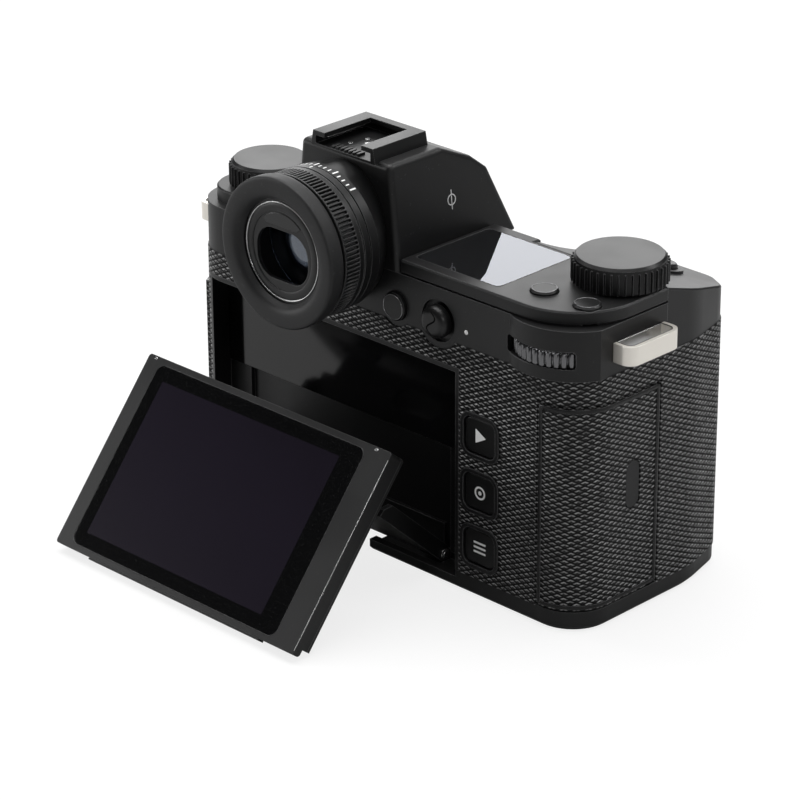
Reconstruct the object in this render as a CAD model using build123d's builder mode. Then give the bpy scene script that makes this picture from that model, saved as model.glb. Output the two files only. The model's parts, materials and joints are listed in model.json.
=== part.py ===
from build123d import *
from math import atan2, cos, degrees, pi, radians, sin, tan
import os

os.makedirs("parts", exist_ok=True)

# Frame: X across with the grip at -X, Y from the lens side (-Y) to the rear, Z up from the base.
# The origin is the mouth of the tripod socket. A depth is measured from the rear face to the lens side.

# Body
body_right = 76.8
body_left = 57.3
body_depth = 33.8
rear_y = 17.0
corner_r = 11.5
base_height = 5.1
shell_height = 60.4
band_height = 12.7
slab_thickness = 3.7
wall = 1.6
leather = 0.8
leather_proud = 0.25
seam_depth = body_depth - 4.6
seam_gap = 0.1
overrun = 1.0
fit_gap = 0.3
part_gap = 0.15
running_gap = 0.05

# Grip
grip_depth = body_depth + 29.2
grip_root_x = 38.0
grip_nose_inner_x = 46.5
grip_nose_outer_x = 64.0
grip_shoulder_x = 73.2
grip_shoulder_depth = body_depth + 22.2
grip_flank_depth = body_depth + 8.2
grip_root_r = 6.0
grip_nose_inner_r = 9.0
grip_nose_outer_r = 8.0
grip_shoulder_r = 9.0
grip_flank_r = 24.0
grip_split_x = 33.6
grip_split_depth = body_depth - 2.8
grip_front_drop = 9.9

# Lens mount
lens_z = 42.0
boss_r = 34.5
boss_depth = body_depth + 4.7
flange_depth = boss_depth + 1.4
flange_r = 33.0
throat_r = 25.8
sensor_depth = flange_depth - 20.0

# Screen
screen_x = 6.4
panel_width = 86.2
panel_height = 53.2
panel_thickness = 5.2
recess_depth = 6.0
hinge_z = 4.6
hinge_depth = 5.2
arm_length = 41.0
upper_hinge_depth = 4.3
arm_swing = 47.5
panel_tilt = 39.3

# Viewfinder
eye_rise = 6.8
hump_length = 41.9
hump_height = 26.6
hump_foot_half = 18.0
hump_top_half = 15.2
sleeve_r = 15.0
eyecup_r = 19.1

# Levels that follow
shell_top = base_height + shell_height
deck_z = shell_top + band_height
top_z = deck_z + slab_thickness
grip_front_z = top_z - grip_front_drop
eye_z = deck_z + eye_rise
metal_inset = leather_proud
recess_top = hinge_z + panel_height + fit_gap
recess_half = panel_width / 2 + fit_gap


def y_at(depth):
    """Y of a place at a depth from the rear face."""
    return rear_y - depth


def upright(depth):
    """Upright plane at a depth: X across, Z up, extrusions run deeper, towards the lens."""
    return Plane.XZ.offset(depth - rear_y)


def plan(inset=0):
    """Plan of the body with its grip, drawn in by an inset on every side."""
    corners = (
        (-body_right, rear_y),
        (-body_right, y_at(grip_flank_depth)),
        (-grip_shoulder_x, y_at(grip_shoulder_depth)),
        (-grip_nose_outer_x, y_at(grip_depth)),
        (-grip_nose_inner_x, y_at(grip_depth)),
        (-grip_root_x, y_at(body_depth)),
        (body_left, y_at(body_depth)),
        (body_left, rear_y),
    )
    radii = (
        corner_r,
        grip_flank_r,
        grip_shoulder_r,
        grip_nose_outer_r,
        grip_nose_inner_r,
        grip_root_r,
        corner_r,
        corner_r,
    )
    with BuildSketch(mode=Mode.PRIVATE) as sketch:
        with BuildLine():
            FilletPolyline(*corners, radius=radii, close=True)
        make_face()
        if inset:
            offset(amount=-inset)
    return sketch.sketch


def zone(x0, x1, y0, y1, mode=Mode.SUBTRACT):
    """Rectangle between two X and two Y values, in the sketch being drawn."""
    with Locations(((x0 + x1) / 2, (y0 + y1) / 2)):
        Rectangle(abs(x1 - x0), abs(y1 - y0), mode=mode)


def block(x0, x1, y0, y1, z0, z1, mode=Mode.SUBTRACT):
    """Box between two X, two Y and two Z values, in the part being built."""
    with Locations(((x0 + x1) / 2, (y0 + y1) / 2, (z0 + z1) / 2)):
        Box(abs(x1 - x0), abs(y1 - y0), abs(z1 - z0), mode=mode)


def barrel(x, z, radius, depth0, depth1, mode=Mode.ADD):
    """Cylinder along the depth, between two depths."""
    with Locations(Location((x, (y_at(depth0) + y_at(depth1)) / 2, z), (90, 0, 0))):
        Cylinder(radius, abs(depth1 - depth0), mode=mode)


def disc(x, depth, radius, z0, z1, mode=Mode.ADD):
    """Upright cylinder between two heights."""
    with Locations((x, y_at(depth), (z0 + z1) / 2)):
        Cylinder(radius, abs(z1 - z0), mode=mode)


def finish(part, name):
    """Name a finished piece and write it."""
    part.label = name
    export_step(part, f"parts/{name}.step")
    print(name, len(part.solids()))


wide = body_right + body_left
deep = grip_depth + rear_y
tall = top_z + hump_height

# Battery and its chamber, inside the grip
battery_x0 = 47.4
battery_x1 = 66.9
battery_depth0 = 17.5
battery_depth1 = 49.0
battery_corner_r = 7.0
battery_small_r = 1.5
battery_foot_z = 0.4
battery_top_z = shell_top - 8.5
chamber_wall = 1.0
base_floor = 3.0
base_wall = 2.2
base_solid_depth = 12.0
base_chamfer = 1.1


def battery_plan(grow=0):
    """Plan of the battery, grown by a clearance on every side."""
    x0 = -battery_x0 + grow
    x1 = -battery_x1 - grow
    y0 = y_at(battery_depth0) + grow
    y1 = y_at(battery_depth1) - grow
    with BuildSketch(mode=Mode.PRIVATE) as sketch:
        with BuildLine():
            FilletPolyline(
                (x0, y0),
                (x1, y0),
                (x1, y1),
                (x0, y1),
                radius=(
                    battery_small_r + grow,
                    battery_small_r + grow,
                    battery_corner_r + grow,
                    battery_small_r + grow,
                ),
                close=True,
            )
        make_face()
    return sketch.sketch


# Base plate
foot_top = 3.2
pocket_floor = 1.8
pocket_depth = 7.7
pocket_half = 35.7
notch_half = 13.5
notch_depth = 9.0
bush_r = 5.0
bush_flange_r = 7.5
bush_height = 8.0
bush_flange = 1.2
boss_wall = 2.0
lever_x = -38.0
lever_depth = 23.0
lever_r = 5.4
lever_recess = 2.0
lever_shaft_r = 1.5
tray_depth = recess_depth + 0.6 * leather
with BuildPart() as base_plate:
    with BuildSketch():
        add(plan(metal_inset))
    extrude(amount=base_height)
    chamfer(base_plate.faces().sort_by(Axis.Z)[0].edges(), length=base_chamfer)
    with BuildSketch(Plane.XY.offset(base_floor)):
        add(plan(metal_inset + base_wall))
        zone(-wide, wide, y_at(base_solid_depth), rear_y)
        Circle(bush_flange_r + boss_wall, mode=Mode.SUBTRACT)
    extrude(amount=base_height, mode=Mode.SUBTRACT)
    disc(0, rear_y, bush_r + running_gap, 0, base_height, mode=Mode.SUBTRACT)
    disc(0, rear_y, bush_flange_r + running_gap, base_floor, base_height, mode=Mode.SUBTRACT)
    with BuildSketch():
        add(battery_plan(fit_gap))
    extrude(amount=base_height, mode=Mode.SUBTRACT)
    disc(lever_x, lever_depth, lever_r + fit_gap, 0, lever_recess, mode=Mode.SUBTRACT)
    disc(lever_x, lever_depth, lever_shaft_r + running_gap, 0, base_height, mode=Mode.SUBTRACT)
    block(
        screen_x - recess_half,
        screen_x + recess_half,
        rear_y + overrun,
        y_at(tray_depth),
        foot_top,
        base_height + overrun,
    )
    block(
        screen_x - pocket_half,
        screen_x + pocket_half,
        y_at(hinge_depth - panel_thickness / 2),
        y_at(pocket_depth),
        pocket_floor,
        base_height + overrun,
    )
    block(
        screen_x - notch_half,
        screen_x + notch_half,
        rear_y + overrun,
        y_at(notch_depth),
        -overrun,
        base_height + overrun,
    )
finish(base_plate.part, "base_plate")

# Tripod bush
socket_r = 3.175
socket_length = 6.5
with BuildPart() as tripod_bush:
    disc(0, rear_y, bush_r, 0, bush_height)
    disc(0, rear_y, bush_flange_r, base_floor, base_floor + bush_flange)
    disc(0, rear_y, socket_r, 0, socket_length, mode=Mode.SUBTRACT)
finish(tripod_bush.part, "tripod_bush")

# Battery, its chamber and its lever
with BuildPart() as battery:
    with BuildSketch(Plane.XY.offset(battery_foot_z)):
        add(battery_plan())
    extrude(amount=battery_top_z - battery_foot_z)
    chamfer(battery.faces().sort_by(Axis.Z)[-1].edges(), length=battery_foot_z)
finish(battery.part, "battery")

chamber_top_z = battery_top_z + 3 * chamber_wall
with BuildPart() as battery_chamber:
    with BuildSketch(Plane.XY.offset(base_floor)):
        add(battery_plan(fit_gap + chamber_wall))
    extrude(amount=chamber_top_z - base_floor)
    with BuildSketch(Plane.XY.offset(base_floor)):
        add(battery_plan(fit_gap))
    extrude(amount=chamber_top_z - chamber_wall - base_floor, mode=Mode.SUBTRACT)
finish(battery_chamber.part, "battery_chamber")

lever_bar_share = 0.34
lever_groove = 0.7
with BuildPart() as battery_lever:
    disc(lever_x, lever_depth, lever_r, battery_foot_z, lever_recess - part_gap)
    disc(lever_x, lever_depth, lever_shaft_r, battery_foot_z, base_height)
    with BuildSketch(Plane.XY.offset(battery_foot_z)):
        with Locations((lever_x, y_at(lever_depth))):
            Circle(lever_r - lever_groove)
            Rectangle(2 * lever_r, 2 * lever_r * lever_bar_share, mode=Mode.SUBTRACT)
    extrude(amount=lever_groove, mode=Mode.SUBTRACT)
finish(battery_lever.part, "battery_lever")

# Rear housing, with the tray that the screen folds into
tray_wall = 1.2
tray_span = (screen_x - recess_half - tray_wall, screen_x + recess_half + tray_wall)
arm_pocket_top = 33.9
key_x = -45.2
key_heights = (43.5, 28.6, 13.8)
key_width = 10.2
key_height = 9.4
key_r = 2.2
key_travel = 0.8
key_rim = 1.2
rim_proud = 0.35
lobe_button_x = -17.0
lobe_button_z = shell_top + 4.0
lobe_button_r = 5.2
stick_x = -31.1
stick_z = shell_top + 4.2
stick_lobe_r = 7.0
stick_recess_r = 5.4
door_x = 63.9
door_thickness = 2.2
door_bottom = 5.6
door_top = shell_top - 6.7
door_knuckle_r = 1.6
door_axis_x = body_right - door_knuckle_r
door_axis_depth = seam_depth - door_knuckle_r - fit_gap
cover_depth0 = 5.0
cover_bottom = 12.0
cover_top = shell_top - 11.5
cover_proud = 1.4
cover_seat = 0.6
cover_axis_x = body_left - leather - wall
cover_knuckle_r = body_left + cover_proud - cover_axis_x
cover_axis_depth = seam_depth - cover_knuckle_r - 2 * fit_gap
cover_pin_r = 0.55
port_depth0 = 12.5
port_depth1 = 20.2
port_margin = 5.0
post_r = 1.5
board_depth = 11.0
with BuildPart() as rear_shell:
    with BuildSketch(Plane.XY.offset(base_height)):
        add(plan(leather))
        add(plan(leather + wall), mode=Mode.SUBTRACT)
        zone(-wide, wide, y_at(seam_depth), -wide)
    extrude(amount=shell_height)
    with BuildSketch(Plane.XY.offset(base_height)):
        add(plan())
        zone(*tray_span, y_at(pocket_depth + tray_wall), rear_y, mode=Mode.INTERSECT)
    extrude(amount=recess_top + tray_wall - base_height)
    block(
        screen_x - recess_half,
        screen_x + recess_half,
        rear_y + overrun,
        y_at(tray_depth),
        base_height - overrun,
        recess_top,
    )
    block(
        screen_x - pocket_half,
        screen_x + pocket_half,
        rear_y + overrun,
        y_at(pocket_depth),
        base_height - overrun,
        arm_pocket_top,
    )
    for post_x in (screen_x - recess_half + 2 * post_r, screen_x + pocket_half - post_r):
        for post_z in (base_height + notch_depth, recess_top - 2 * post_r):
            barrel(post_x, post_z, post_r, pocket_depth + tray_wall, board_depth)
    for key_z in key_heights:
        with BuildSketch(upright(-rim_proud)):
            with Locations((key_x, key_z)):
                RectangleRounded(key_width + 2 * key_rim, key_height + 2 * key_rim, key_r + key_rim)
        extrude(amount=rim_proud + leather + wall / 2)
        with BuildSketch(upright(-rim_proud)):
            with Locations((key_x, key_z)):
                RectangleRounded(key_width + 2 * part_gap, key_height + 2 * part_gap, key_r + part_gap)
        extrude(amount=rim_proud + leather + 2 * wall, mode=Mode.SUBTRACT)
    barrel(lobe_button_x, lobe_button_z, lobe_button_r + seam_gap, 0, leather + 2 * wall, mode=Mode.SUBTRACT)
    barrel(stick_x, stick_z, stick_lobe_r + seam_gap, 0, leather + 2 * wall, mode=Mode.SUBTRACT)
    block(
        -wide,
        -door_x + fit_gap,
        rear_y + overrun,
        y_at(seam_depth) - overrun,
        base_height - overrun,
        door_top + fit_gap,
    )
    block(
        cover_axis_x - cover_knuckle_r - fit_gap,
        wide,
        y_at(cover_axis_depth - cover_knuckle_r - fit_gap),
        y_at(seam_depth) - overrun,
        cover_bottom - fit_gap,
        cover_top + fit_gap,
    )
    block(
        body_left - corner_r,
        wide,
        y_at(port_depth0),
        y_at(cover_axis_depth),
        cover_bottom + port_margin,
        cover_top - port_margin,
    )
    for cover_end in (cover_bottom, cover_top):
        disc(
            cover_axis_x,
            cover_axis_depth,
            cover_pin_r + running_gap,
            cover_end - 2 * wall,
            cover_end + 2 * wall,
            mode=Mode.SUBTRACT,
        )
finish(rear_shell.part, "rear_shell")

# Glossy panel on the upper wall of the screen recess
with BuildPart() as recess_panel:
    block(
        screen_x - recess_half + seam_gap,
        screen_x + recess_half - seam_gap,
        y_at(recess_depth),
        y_at(tray_depth),
        arm_pocket_top,
        recess_top - seam_gap,
        mode=Mode.ADD,
    )
finish(recess_panel.part, "recess_panel")

# Front housing with the grip and the boss of the lens mount
collar_r = throat_r + wall
release_x = -27.0
release_z = 13.0
release_r = 3.0
release_travel = 1.0
release_proud = 1.5
pin_reach = 29.6
release_angle = atan2(release_z - lens_z, release_x)
lock_x = pin_reach * cos(release_angle)
lock_z = lens_z + pin_reach * sin(release_angle)
lock_r = 1.2
lock_depth = 33.0
with BuildPart() as front_shell:
    with BuildSketch(Plane.XY.offset(base_height)):
        add(plan(leather))
        add(plan(leather + wall), mode=Mode.SUBTRACT)
        zone(-wide, wide, y_at(seam_depth), rear_y + overrun)
    extrude(amount=shell_height)
    barrel(0, lens_z, boss_r, seam_depth, boss_depth)
    barrel(0, lens_z, collar_r + running_gap, seam_depth, boss_depth, mode=Mode.SUBTRACT)
    barrel(lock_x, lock_z, lock_r + running_gap, lock_depth - 2 * release_travel, boss_depth, mode=Mode.SUBTRACT)
    barrel(release_x, release_z, release_r + part_gap, seam_depth, body_depth, mode=Mode.SUBTRACT)
finish(front_shell.part, "front_shell")

# Leatherette: a skin on the rear and on the front, open where the keys, doors, screen and mount are
skin_gap = 0.1
with BuildPart() as rear_leatherette:
    with BuildSketch(Plane.XY.offset(base_height)):
        add(plan())
        add(plan(leather), mode=Mode.SUBTRACT)
        zone(-wide, wide, y_at(seam_depth - skin_gap), -wide)
    extrude(amount=shell_height)
    block(*tray_span, rear_y + overrun, y_at(tray_depth), base_height - overrun, recess_top + tray_wall)
    for key_z in key_heights:
        with BuildSketch(upright(-rim_proud)):
            with Locations((key_x, key_z)):
                RectangleRounded(
                    key_width + 2 * key_rim + skin_gap,
                    key_height + 2 * key_rim + skin_gap,
                    key_r + key_rim,
                )
        extrude(amount=rim_proud + 2 * leather, mode=Mode.SUBTRACT)
    barrel(lobe_button_x, lobe_button_z, lobe_button_r + seam_gap, 0, 2 * leather, mode=Mode.SUBTRACT)
    barrel(stick_x, stick_z, stick_lobe_r + seam_gap, 0, 2 * leather, mode=Mode.SUBTRACT)
    block(
        -wide,
        -door_x + fit_gap,
        rear_y + overrun,
        y_at(seam_depth) - overrun,
        base_height - overrun,
        door_top + fit_gap,
    )
    block(
        body_left - corner_r / 2,
        wide,
        y_at(cover_depth0 - fit_gap),
        y_at(seam_depth) - overrun,
        cover_bottom - fit_gap,
        cover_top + fit_gap,
    )
finish(rear_leatherette.part, "rear_leatherette")

with BuildPart() as front_leatherette:
    with BuildSketch(Plane.XY.offset(base_height)):
        add(plan())
        add(plan(leather), mode=Mode.SUBTRACT)
        zone(-wide, wide, y_at(seam_depth + skin_gap), rear_y + overrun)
    extrude(amount=shell_height)
    barrel(0, lens_z, boss_r + skin_gap, seam_depth, body_depth + overrun, mode=Mode.SUBTRACT)
    barrel(release_x, release_z, release_r + part_gap, seam_depth, body_depth + overrun, mode=Mode.SUBTRACT)
finish(front_leatherette.part, "front_leatherette")

# Card door: a corner piece on an upright pin, carried by a slider
door_slide = 4.0
door_pin_r = 0.6
ear_thickness = 0.6
ear_gap = 0.2
ear_r = door_knuckle_r - ear_gap
ear_depth = door_axis_depth - door_knuckle_r - fit_gap
dimple_depth = 19.7
dimple_bottom = 28.4
dimple_top = 41.3
dimple_width = 5.2
dimple_sink = 0.5
with BuildPart() as card_door:
    with BuildSketch(Plane.XY.offset(door_bottom)):
        add(plan())
        add(plan(door_thickness), mode=Mode.SUBTRACT)
        zone(-wide, wide, y_at(door_axis_depth), -wide)
        zone(-door_x, wide, rear_y + overrun, -wide)
        with Locations((-door_axis_x, y_at(door_axis_depth))):
            Circle(door_knuckle_r)
    extrude(amount=door_top - door_bottom)
    for end0, end1 in (
        (door_bottom - overrun, door_bottom + ear_thickness + ear_gap),
        (door_top - ear_thickness - ear_gap, door_top + overrun),
    ):
        block(-wide, -body_right + corner_r, y_at(ear_depth), y_at(seam_depth), end0, end1)
    disc(-door_axis_x, door_axis_depth, door_pin_r + running_gap, door_bottom, door_top, mode=Mode.SUBTRACT)
    with BuildSketch(Plane.YZ.offset(-body_right)):
        with Locations((y_at(dimple_depth), (dimple_bottom + dimple_top) / 2)):
            SlotOverall(dimple_top - dimple_bottom, dimple_width, rotation=90)
    extrude(amount=dimple_sink, mode=Mode.SUBTRACT)
finish(card_door.part, "card_door")

bar_width = 0.9
bar_x = body_right - door_thickness - ear_gap - bar_width
with BuildPart() as card_door_slider:
    for ear_z in (door_bottom, door_top - ear_thickness):
        with BuildSketch(Plane.XY.offset(ear_z)):
            with Locations((-door_axis_x, y_at(door_axis_depth))):
                Circle(ear_r)
            zone(-door_axis_x, -bar_x, y_at(door_axis_depth - ear_r), y_at(door_axis_depth + ear_r), mode=Mode.ADD)
        extrude(amount=ear_thickness)
    block(
        -bar_x - bar_width,
        -bar_x,
        y_at(ear_depth - ear_r),
        y_at(ear_depth),
        door_bottom,
        door_top,
        mode=Mode.ADD,
    )
    disc(-door_axis_x, door_axis_depth, door_pin_r, door_bottom, door_bottom + 4 * ear_r)
    disc(-door_axis_x, door_axis_depth, door_pin_r, door_top - 4 * ear_r, door_top)
    for ear_z in (door_bottom, door_top - ear_thickness):
        block(
            -bar_x - bar_width,
            -bar_x,
            y_at(ear_depth - ear_r),
            y_at(door_axis_depth),
            ear_z,
            ear_z + ear_thickness,
            mode=Mode.ADD,
        )
finish(card_door_slider.part, "card_door_slider")

# Card slots
slot_x0 = 41.0
slot_x1 = 73.0
slot_depth0 = 3.5
slot_depth1 = 15.6
slot_bottom = 12.0
slot_top = door_top - 3.2
card_width = 24.6
card_thickness = 2.4
card_length = 30.0
card_depths = (6.6, 11.4)
with BuildPart() as card_slot_unit:
    with BuildSketch(Plane.XY.offset(slot_bottom)):
        add(plan(door_thickness + 2 * fit_gap))
        zone(-slot_x1, -slot_x0, y_at(slot_depth0), y_at(slot_depth1), mode=Mode.INTERSECT)
    extrude(amount=slot_top - slot_bottom)
    for card_depth in card_depths:
        block(
            -wide,
            -slot_x1 + card_length,
            y_at(card_depth),
            y_at(card_depth + card_thickness),
            (slot_bottom + slot_top - card_width) / 2,
            (slot_bottom + slot_top + card_width) / 2,
        )
    block(
        -door_x + 2 * key_rim,
        -door_x + 4 * key_rim,
        y_at(leather + wall),
        y_at(slot_depth0),
        slot_bottom,
        slot_top,
        mode=Mode.ADD,
    )
finish(card_slot_unit.part, "card_slot_unit")

# Connector cover on the left side and the connectors behind it
with BuildPart() as connector_door:
    with BuildSketch(Plane.XY.offset(cover_bottom)):
        add(plan(-cover_proud))
        add(plan(cover_seat), mode=Mode.SUBTRACT)
        zone(-wide, wide, y_at(cover_axis_depth), -wide)
        zone(-wide, wide, rear_y + wide, y_at(cover_depth0))
        zone(-wide - overrun, 0, rear_y + overrun, y_at(grip_depth))
        with Locations((cover_axis_x, y_at(cover_axis_depth))):
            Circle(cover_knuckle_r)
    extrude(amount=cover_top - cover_bottom)
    disc(cover_axis_x, cover_axis_depth, cover_pin_r, cover_bottom - wall, cover_top + wall)
finish(connector_door.part, "connector_door")

block_x0 = 46.0
socket_depth = 7.0
hdmi_width = 14.2
hdmi_height = 4.8
jack_r = 1.75
usb_height = 8.9
usb_width = 3.2
block_x1 = body_left - leather - wall
block_bottom = cover_bottom + port_margin - leather
block_top = cover_top - port_margin + leather
port_mid = (port_depth0 + port_depth1) / 2
hdmi_z = block_bottom + hdmi_width / 2 + wall
usb_z = hdmi_z + hdmi_width / 2 + usb_height / 2 + wall
jack_z = usb_z + usb_height / 2 + jack_r + wall
with BuildPart() as connector_block:
    block(block_x0, block_x1, y_at(port_depth0), y_at(port_depth1), block_bottom, block_top, mode=Mode.ADD)
    with BuildSketch(Plane.YZ.offset(block_x1)):
        with Locations((y_at(port_mid), hdmi_z)):
            Rectangle(hdmi_height, hdmi_width)
        with Locations((y_at(port_mid), usb_z)):
            SlotOverall(usb_height, usb_width, rotation=90)
        with Locations((y_at(port_mid), jack_z)):
            Circle(jack_r)
    extrude(amount=-socket_depth, mode=Mode.SUBTRACT)
finish(connector_block.part, "connector_block")

# Top cover: the band with the thumbwheel's swelling and the control panel on the rear
wheel_house_x = 62.0
wheel_house_depth = 14.6
wheel_house_r = 16.2
deck = 1.4
wheel_r = 12.2
wheel_proud = 0.4
wheel_turn = radians(-78)
wheel_x = -wheel_house_x - (wheel_house_r + wheel_proud - wheel_r) * cos(wheel_turn)
wheel_depth = wheel_house_depth + (wheel_house_r + wheel_proud - wheel_r) * sin(wheel_turn)
wheel_slot_x0 = 53.6
wheel_slot_x1 = 73.0
wheel_slot_r = 0.9
wheel_slot_z0 = shell_top + 3.1
wheel_slot_z1 = wheel_slot_z0 + 4.4
wheel_slot_depth = 6.3
wheel_axle_r = 1.5
stick_floor = 1.5
round_button_r = 3.6
ridge_height = 0.7
ridge_flank = 72


def band(inset=0):
    """Plan of the top band: the body with the wheel's swelling, short of the grip top."""
    with BuildSketch(mode=Mode.PRIVATE) as sketch:
        add(plan(metal_inset + inset))
        with Locations((-wheel_house_x, y_at(wheel_house_depth))):
            Circle(wheel_house_r - inset)
        zone(-wide, metal_inset + inset - body_right, -wide, wide)
        zone(-wide, -grip_split_x + inset, y_at(grip_split_depth - inset), -wide)
    return sketch.sketch


with BuildPart() as top_cover:
    with BuildSketch(Plane.XY.offset(shell_top)):
        add(band())
    extrude(amount=band_height)
    barrel(lobe_button_x, lobe_button_z, lobe_button_r, metal_inset, leather + wall)
    barrel(stick_x, stick_z, stick_lobe_r, metal_inset, leather + wall)
    with BuildSketch(Plane.XY.offset(shell_top)):
        add(band(wall))
    extrude(amount=band_height - deck, mode=Mode.SUBTRACT)
    barrel(stick_x, stick_z, stick_recess_r + wall / 2, leather, stick_floor + leather + fit_gap)
    barrel(stick_x, stick_z, stick_recess_r, 0, stick_floor, mode=Mode.SUBTRACT)
    barrel(stick_x, stick_z, stick_recess_r / 2, 0, stick_floor + 2 * wall, mode=Mode.SUBTRACT)
    barrel(lobe_button_x, lobe_button_z, round_button_r + part_gap, 0, 2 * wall, mode=Mode.SUBTRACT)
    with BuildSketch(upright(-overrun)):
        with Locations((-(wheel_slot_x0 + wheel_slot_x1) / 2, (wheel_slot_z0 + wheel_slot_z1) / 2)):
            RectangleRounded(wheel_slot_x1 - wheel_slot_x0, wheel_slot_z1 - wheel_slot_z0, wheel_slot_r)
    extrude(amount=wheel_slot_depth + overrun, mode=Mode.SUBTRACT)
    disc(wheel_x, wheel_depth, wheel_r + fit_gap, wheel_slot_z0, wheel_slot_z1, mode=Mode.SUBTRACT)
    disc(wheel_x, wheel_depth, wheel_axle_r, wheel_slot_z0 - wall, deck_z - deck)
    barrel(0, lens_z, boss_r + skin_gap, seam_depth, boss_depth, mode=Mode.SUBTRACT)
finish(top_cover.part, "top_cover")


def ridges(x, depth, radius, count, bottom, height, ridge_share=0.52):
    """Ring of small ridges round an upright disc, added to the part being built."""
    width = 2 * pi * radius / count * ridge_share
    with BuildSketch(Plane.XY.offset(bottom), mode=Mode.PRIVATE) as ring:
        with Locations((x, y_at(depth))):
            with PolarLocations(radius - ridge_height, count):
                Trapezoid(width, 2 * ridge_height, ridge_flank, rotation=-90)
    extrude(ring.sketch, amount=height)


# Thumbwheel
wheel_ridges = 38
wheel_z0 = wheel_slot_z0 + part_gap
wheel_z1 = wheel_slot_z1 - part_gap
with BuildPart() as thumbwheel:
    disc(wheel_x, wheel_depth, wheel_r - ridge_height, wheel_z0, wheel_z1)
    ridges(wheel_x, wheel_depth, wheel_r, wheel_ridges, wheel_z0, wheel_z1 - wheel_z0)
    disc(wheel_x, wheel_depth, wheel_axle_r + running_gap, wheel_z0, wheel_z1, mode=Mode.SUBTRACT)
finish(thumbwheel.part, "thumbwheel")

# Top plates
slab_round = 0.8
slab_groove = 0.6
slab_corner_r = 18.0
slab_small_r = 0.6
hump_clear = 0.25
plate_x = hump_foot_half + hump_clear
dial_shaft_r = 4.0
right_dial_x = -65.2
right_dial_depth = 26.8
right_dial_r = 11.8
left_dial_x = 42.0
left_dial_depth = 14.7
left_dial_r = 10.6
dial_gap = 0.5
right_dial_height = 6.6
left_dial_height = 6.5
window_x0 = 19.8
window_x1 = 47.2
window_depth0 = 3.9
window_depth1 = 30.0
window_r = 1.5
window_glass = 0.8
display_thickness = 1.2
top_button_r = 3.4
top_button_proud = 0.8
top_button_stem = 2.4
top_button_travel = 0.6
inner_button_x = -56.7
inner_button_depth = 9.6
outer_button_x = -70.0
outer_button_depth = 9.8


def right_slab(inset=0):
    """Plan of the right top plate, with its round rear corner."""
    x0 = -body_right + metal_inset + inset
    x1 = -plate_x
    y0 = y_at(metal_inset + inset)
    y1 = y_at(body_depth - metal_inset)
    with BuildSketch(mode=Mode.PRIVATE) as sketch:
        with BuildLine():
            FilletPolyline(
                (x0, y0),
                (x1, y0),
                (x1, y1),
                (x0, y1),
                radius=(slab_corner_r - inset, slab_small_r, slab_small_r, slab_small_r),
                close=True,
            )
        make_face()
        add(plan(metal_inset + inset), mode=Mode.INTERSECT)
        zone(-wide, -grip_split_x, y_at(grip_split_depth), -wide)
    return sketch.sketch


with BuildPart() as top_plate:
    with BuildSketch(Plane.XY.offset(deck_z)):
        add(right_slab(slab_groove))
    extrude(amount=slab_groove)
    with BuildSketch(Plane.XY.offset(deck_z + slab_groove)):
        add(right_slab())
    extrude(amount=slab_thickness - slab_groove)
    chamfer(top_plate.faces().sort_by(Axis.Z)[-1].edges(), length=slab_round / 2)
    disc(right_dial_x, right_dial_depth, dial_shaft_r + running_gap, deck_z, top_z + overrun, mode=Mode.SUBTRACT)
    for button_x, button_depth in ((inner_button_x, inner_button_depth), (outer_button_x, outer_button_depth)):
        disc(button_x, button_depth, top_button_r + part_gap, deck_z, top_z + overrun, mode=Mode.SUBTRACT)
    with BuildSketch(Plane.XY.offset(top_z)):
        with Locations((-(window_x0 + window_x1) / 2, y_at((window_depth0 + window_depth1) / 2))):
            RectangleRounded(
                window_x1 - window_x0 + 2 * running_gap,
                window_depth1 - window_depth0 + 2 * running_gap,
                window_r,
            )
    extrude(amount=-window_glass - display_thickness, mode=Mode.SUBTRACT)
finish(top_plate.part, "top_plate")

with BuildPart() as top_display_window:
    with BuildSketch(Plane.XY.offset(top_z)):
        with Locations((-(window_x0 + window_x1) / 2, y_at((window_depth0 + window_depth1) / 2))):
            RectangleRounded(window_x1 - window_x0, window_depth1 - window_depth0, window_r)
    extrude(amount=-window_glass)
finish(top_display_window.part, "top_display_window")

with BuildPart() as top_display_panel:
    with BuildSketch(Plane.XY.offset(top_z - window_glass)):
        with Locations((-(window_x0 + window_x1) / 2, y_at((window_depth0 + window_depth1) / 2))):
            RectangleRounded(window_x1 - window_x0, window_depth1 - window_depth0, window_r)
    extrude(amount=-display_thickness)
finish(top_display_panel.part, "top_display_panel")

left_inset = 2.75
with BuildPart() as left_top_plate:
    with BuildSketch(Plane.XY.offset(deck_z)):
        add(plan(left_inset))
        zone(-wide, plate_x, rear_y + overrun, -wide)
    extrude(amount=slab_thickness)
    chamfer(left_top_plate.faces().sort_by(Axis.Z)[-1].edges(), length=slab_round / 2)
    disc(left_dial_x, left_dial_depth, dial_shaft_r + running_gap, deck_z, top_z + overrun, mode=Mode.SUBTRACT)
finish(left_top_plate.part, "left_top_plate")


# Dials, each on a shaft in its top plate
def top_dial(x, depth, radius, height, count):
    """Ridged dial with its shaft, standing just above a top plate."""
    bottom = top_z + dial_gap
    crown = height / 5
    with BuildPart(mode=Mode.PRIVATE) as dial:
        disc(x, depth, radius - ridge_height, bottom, bottom + height)
        chamfer(dial.faces().sort_by(Axis.Z)[-1].edges(), length=crown / 2)
        ridges(x, depth, radius, count, bottom, height - crown)
        disc(x, depth, dial_shaft_r, deck_z + part_gap, bottom)
    return dial.part


right_ridges = 42
left_ridges = 38
finish(top_dial(right_dial_x, right_dial_depth, right_dial_r, right_dial_height, right_ridges), "right_dial")
finish(top_dial(left_dial_x, left_dial_depth, left_dial_r, left_dial_height, left_ridges), "left_dial")


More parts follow.
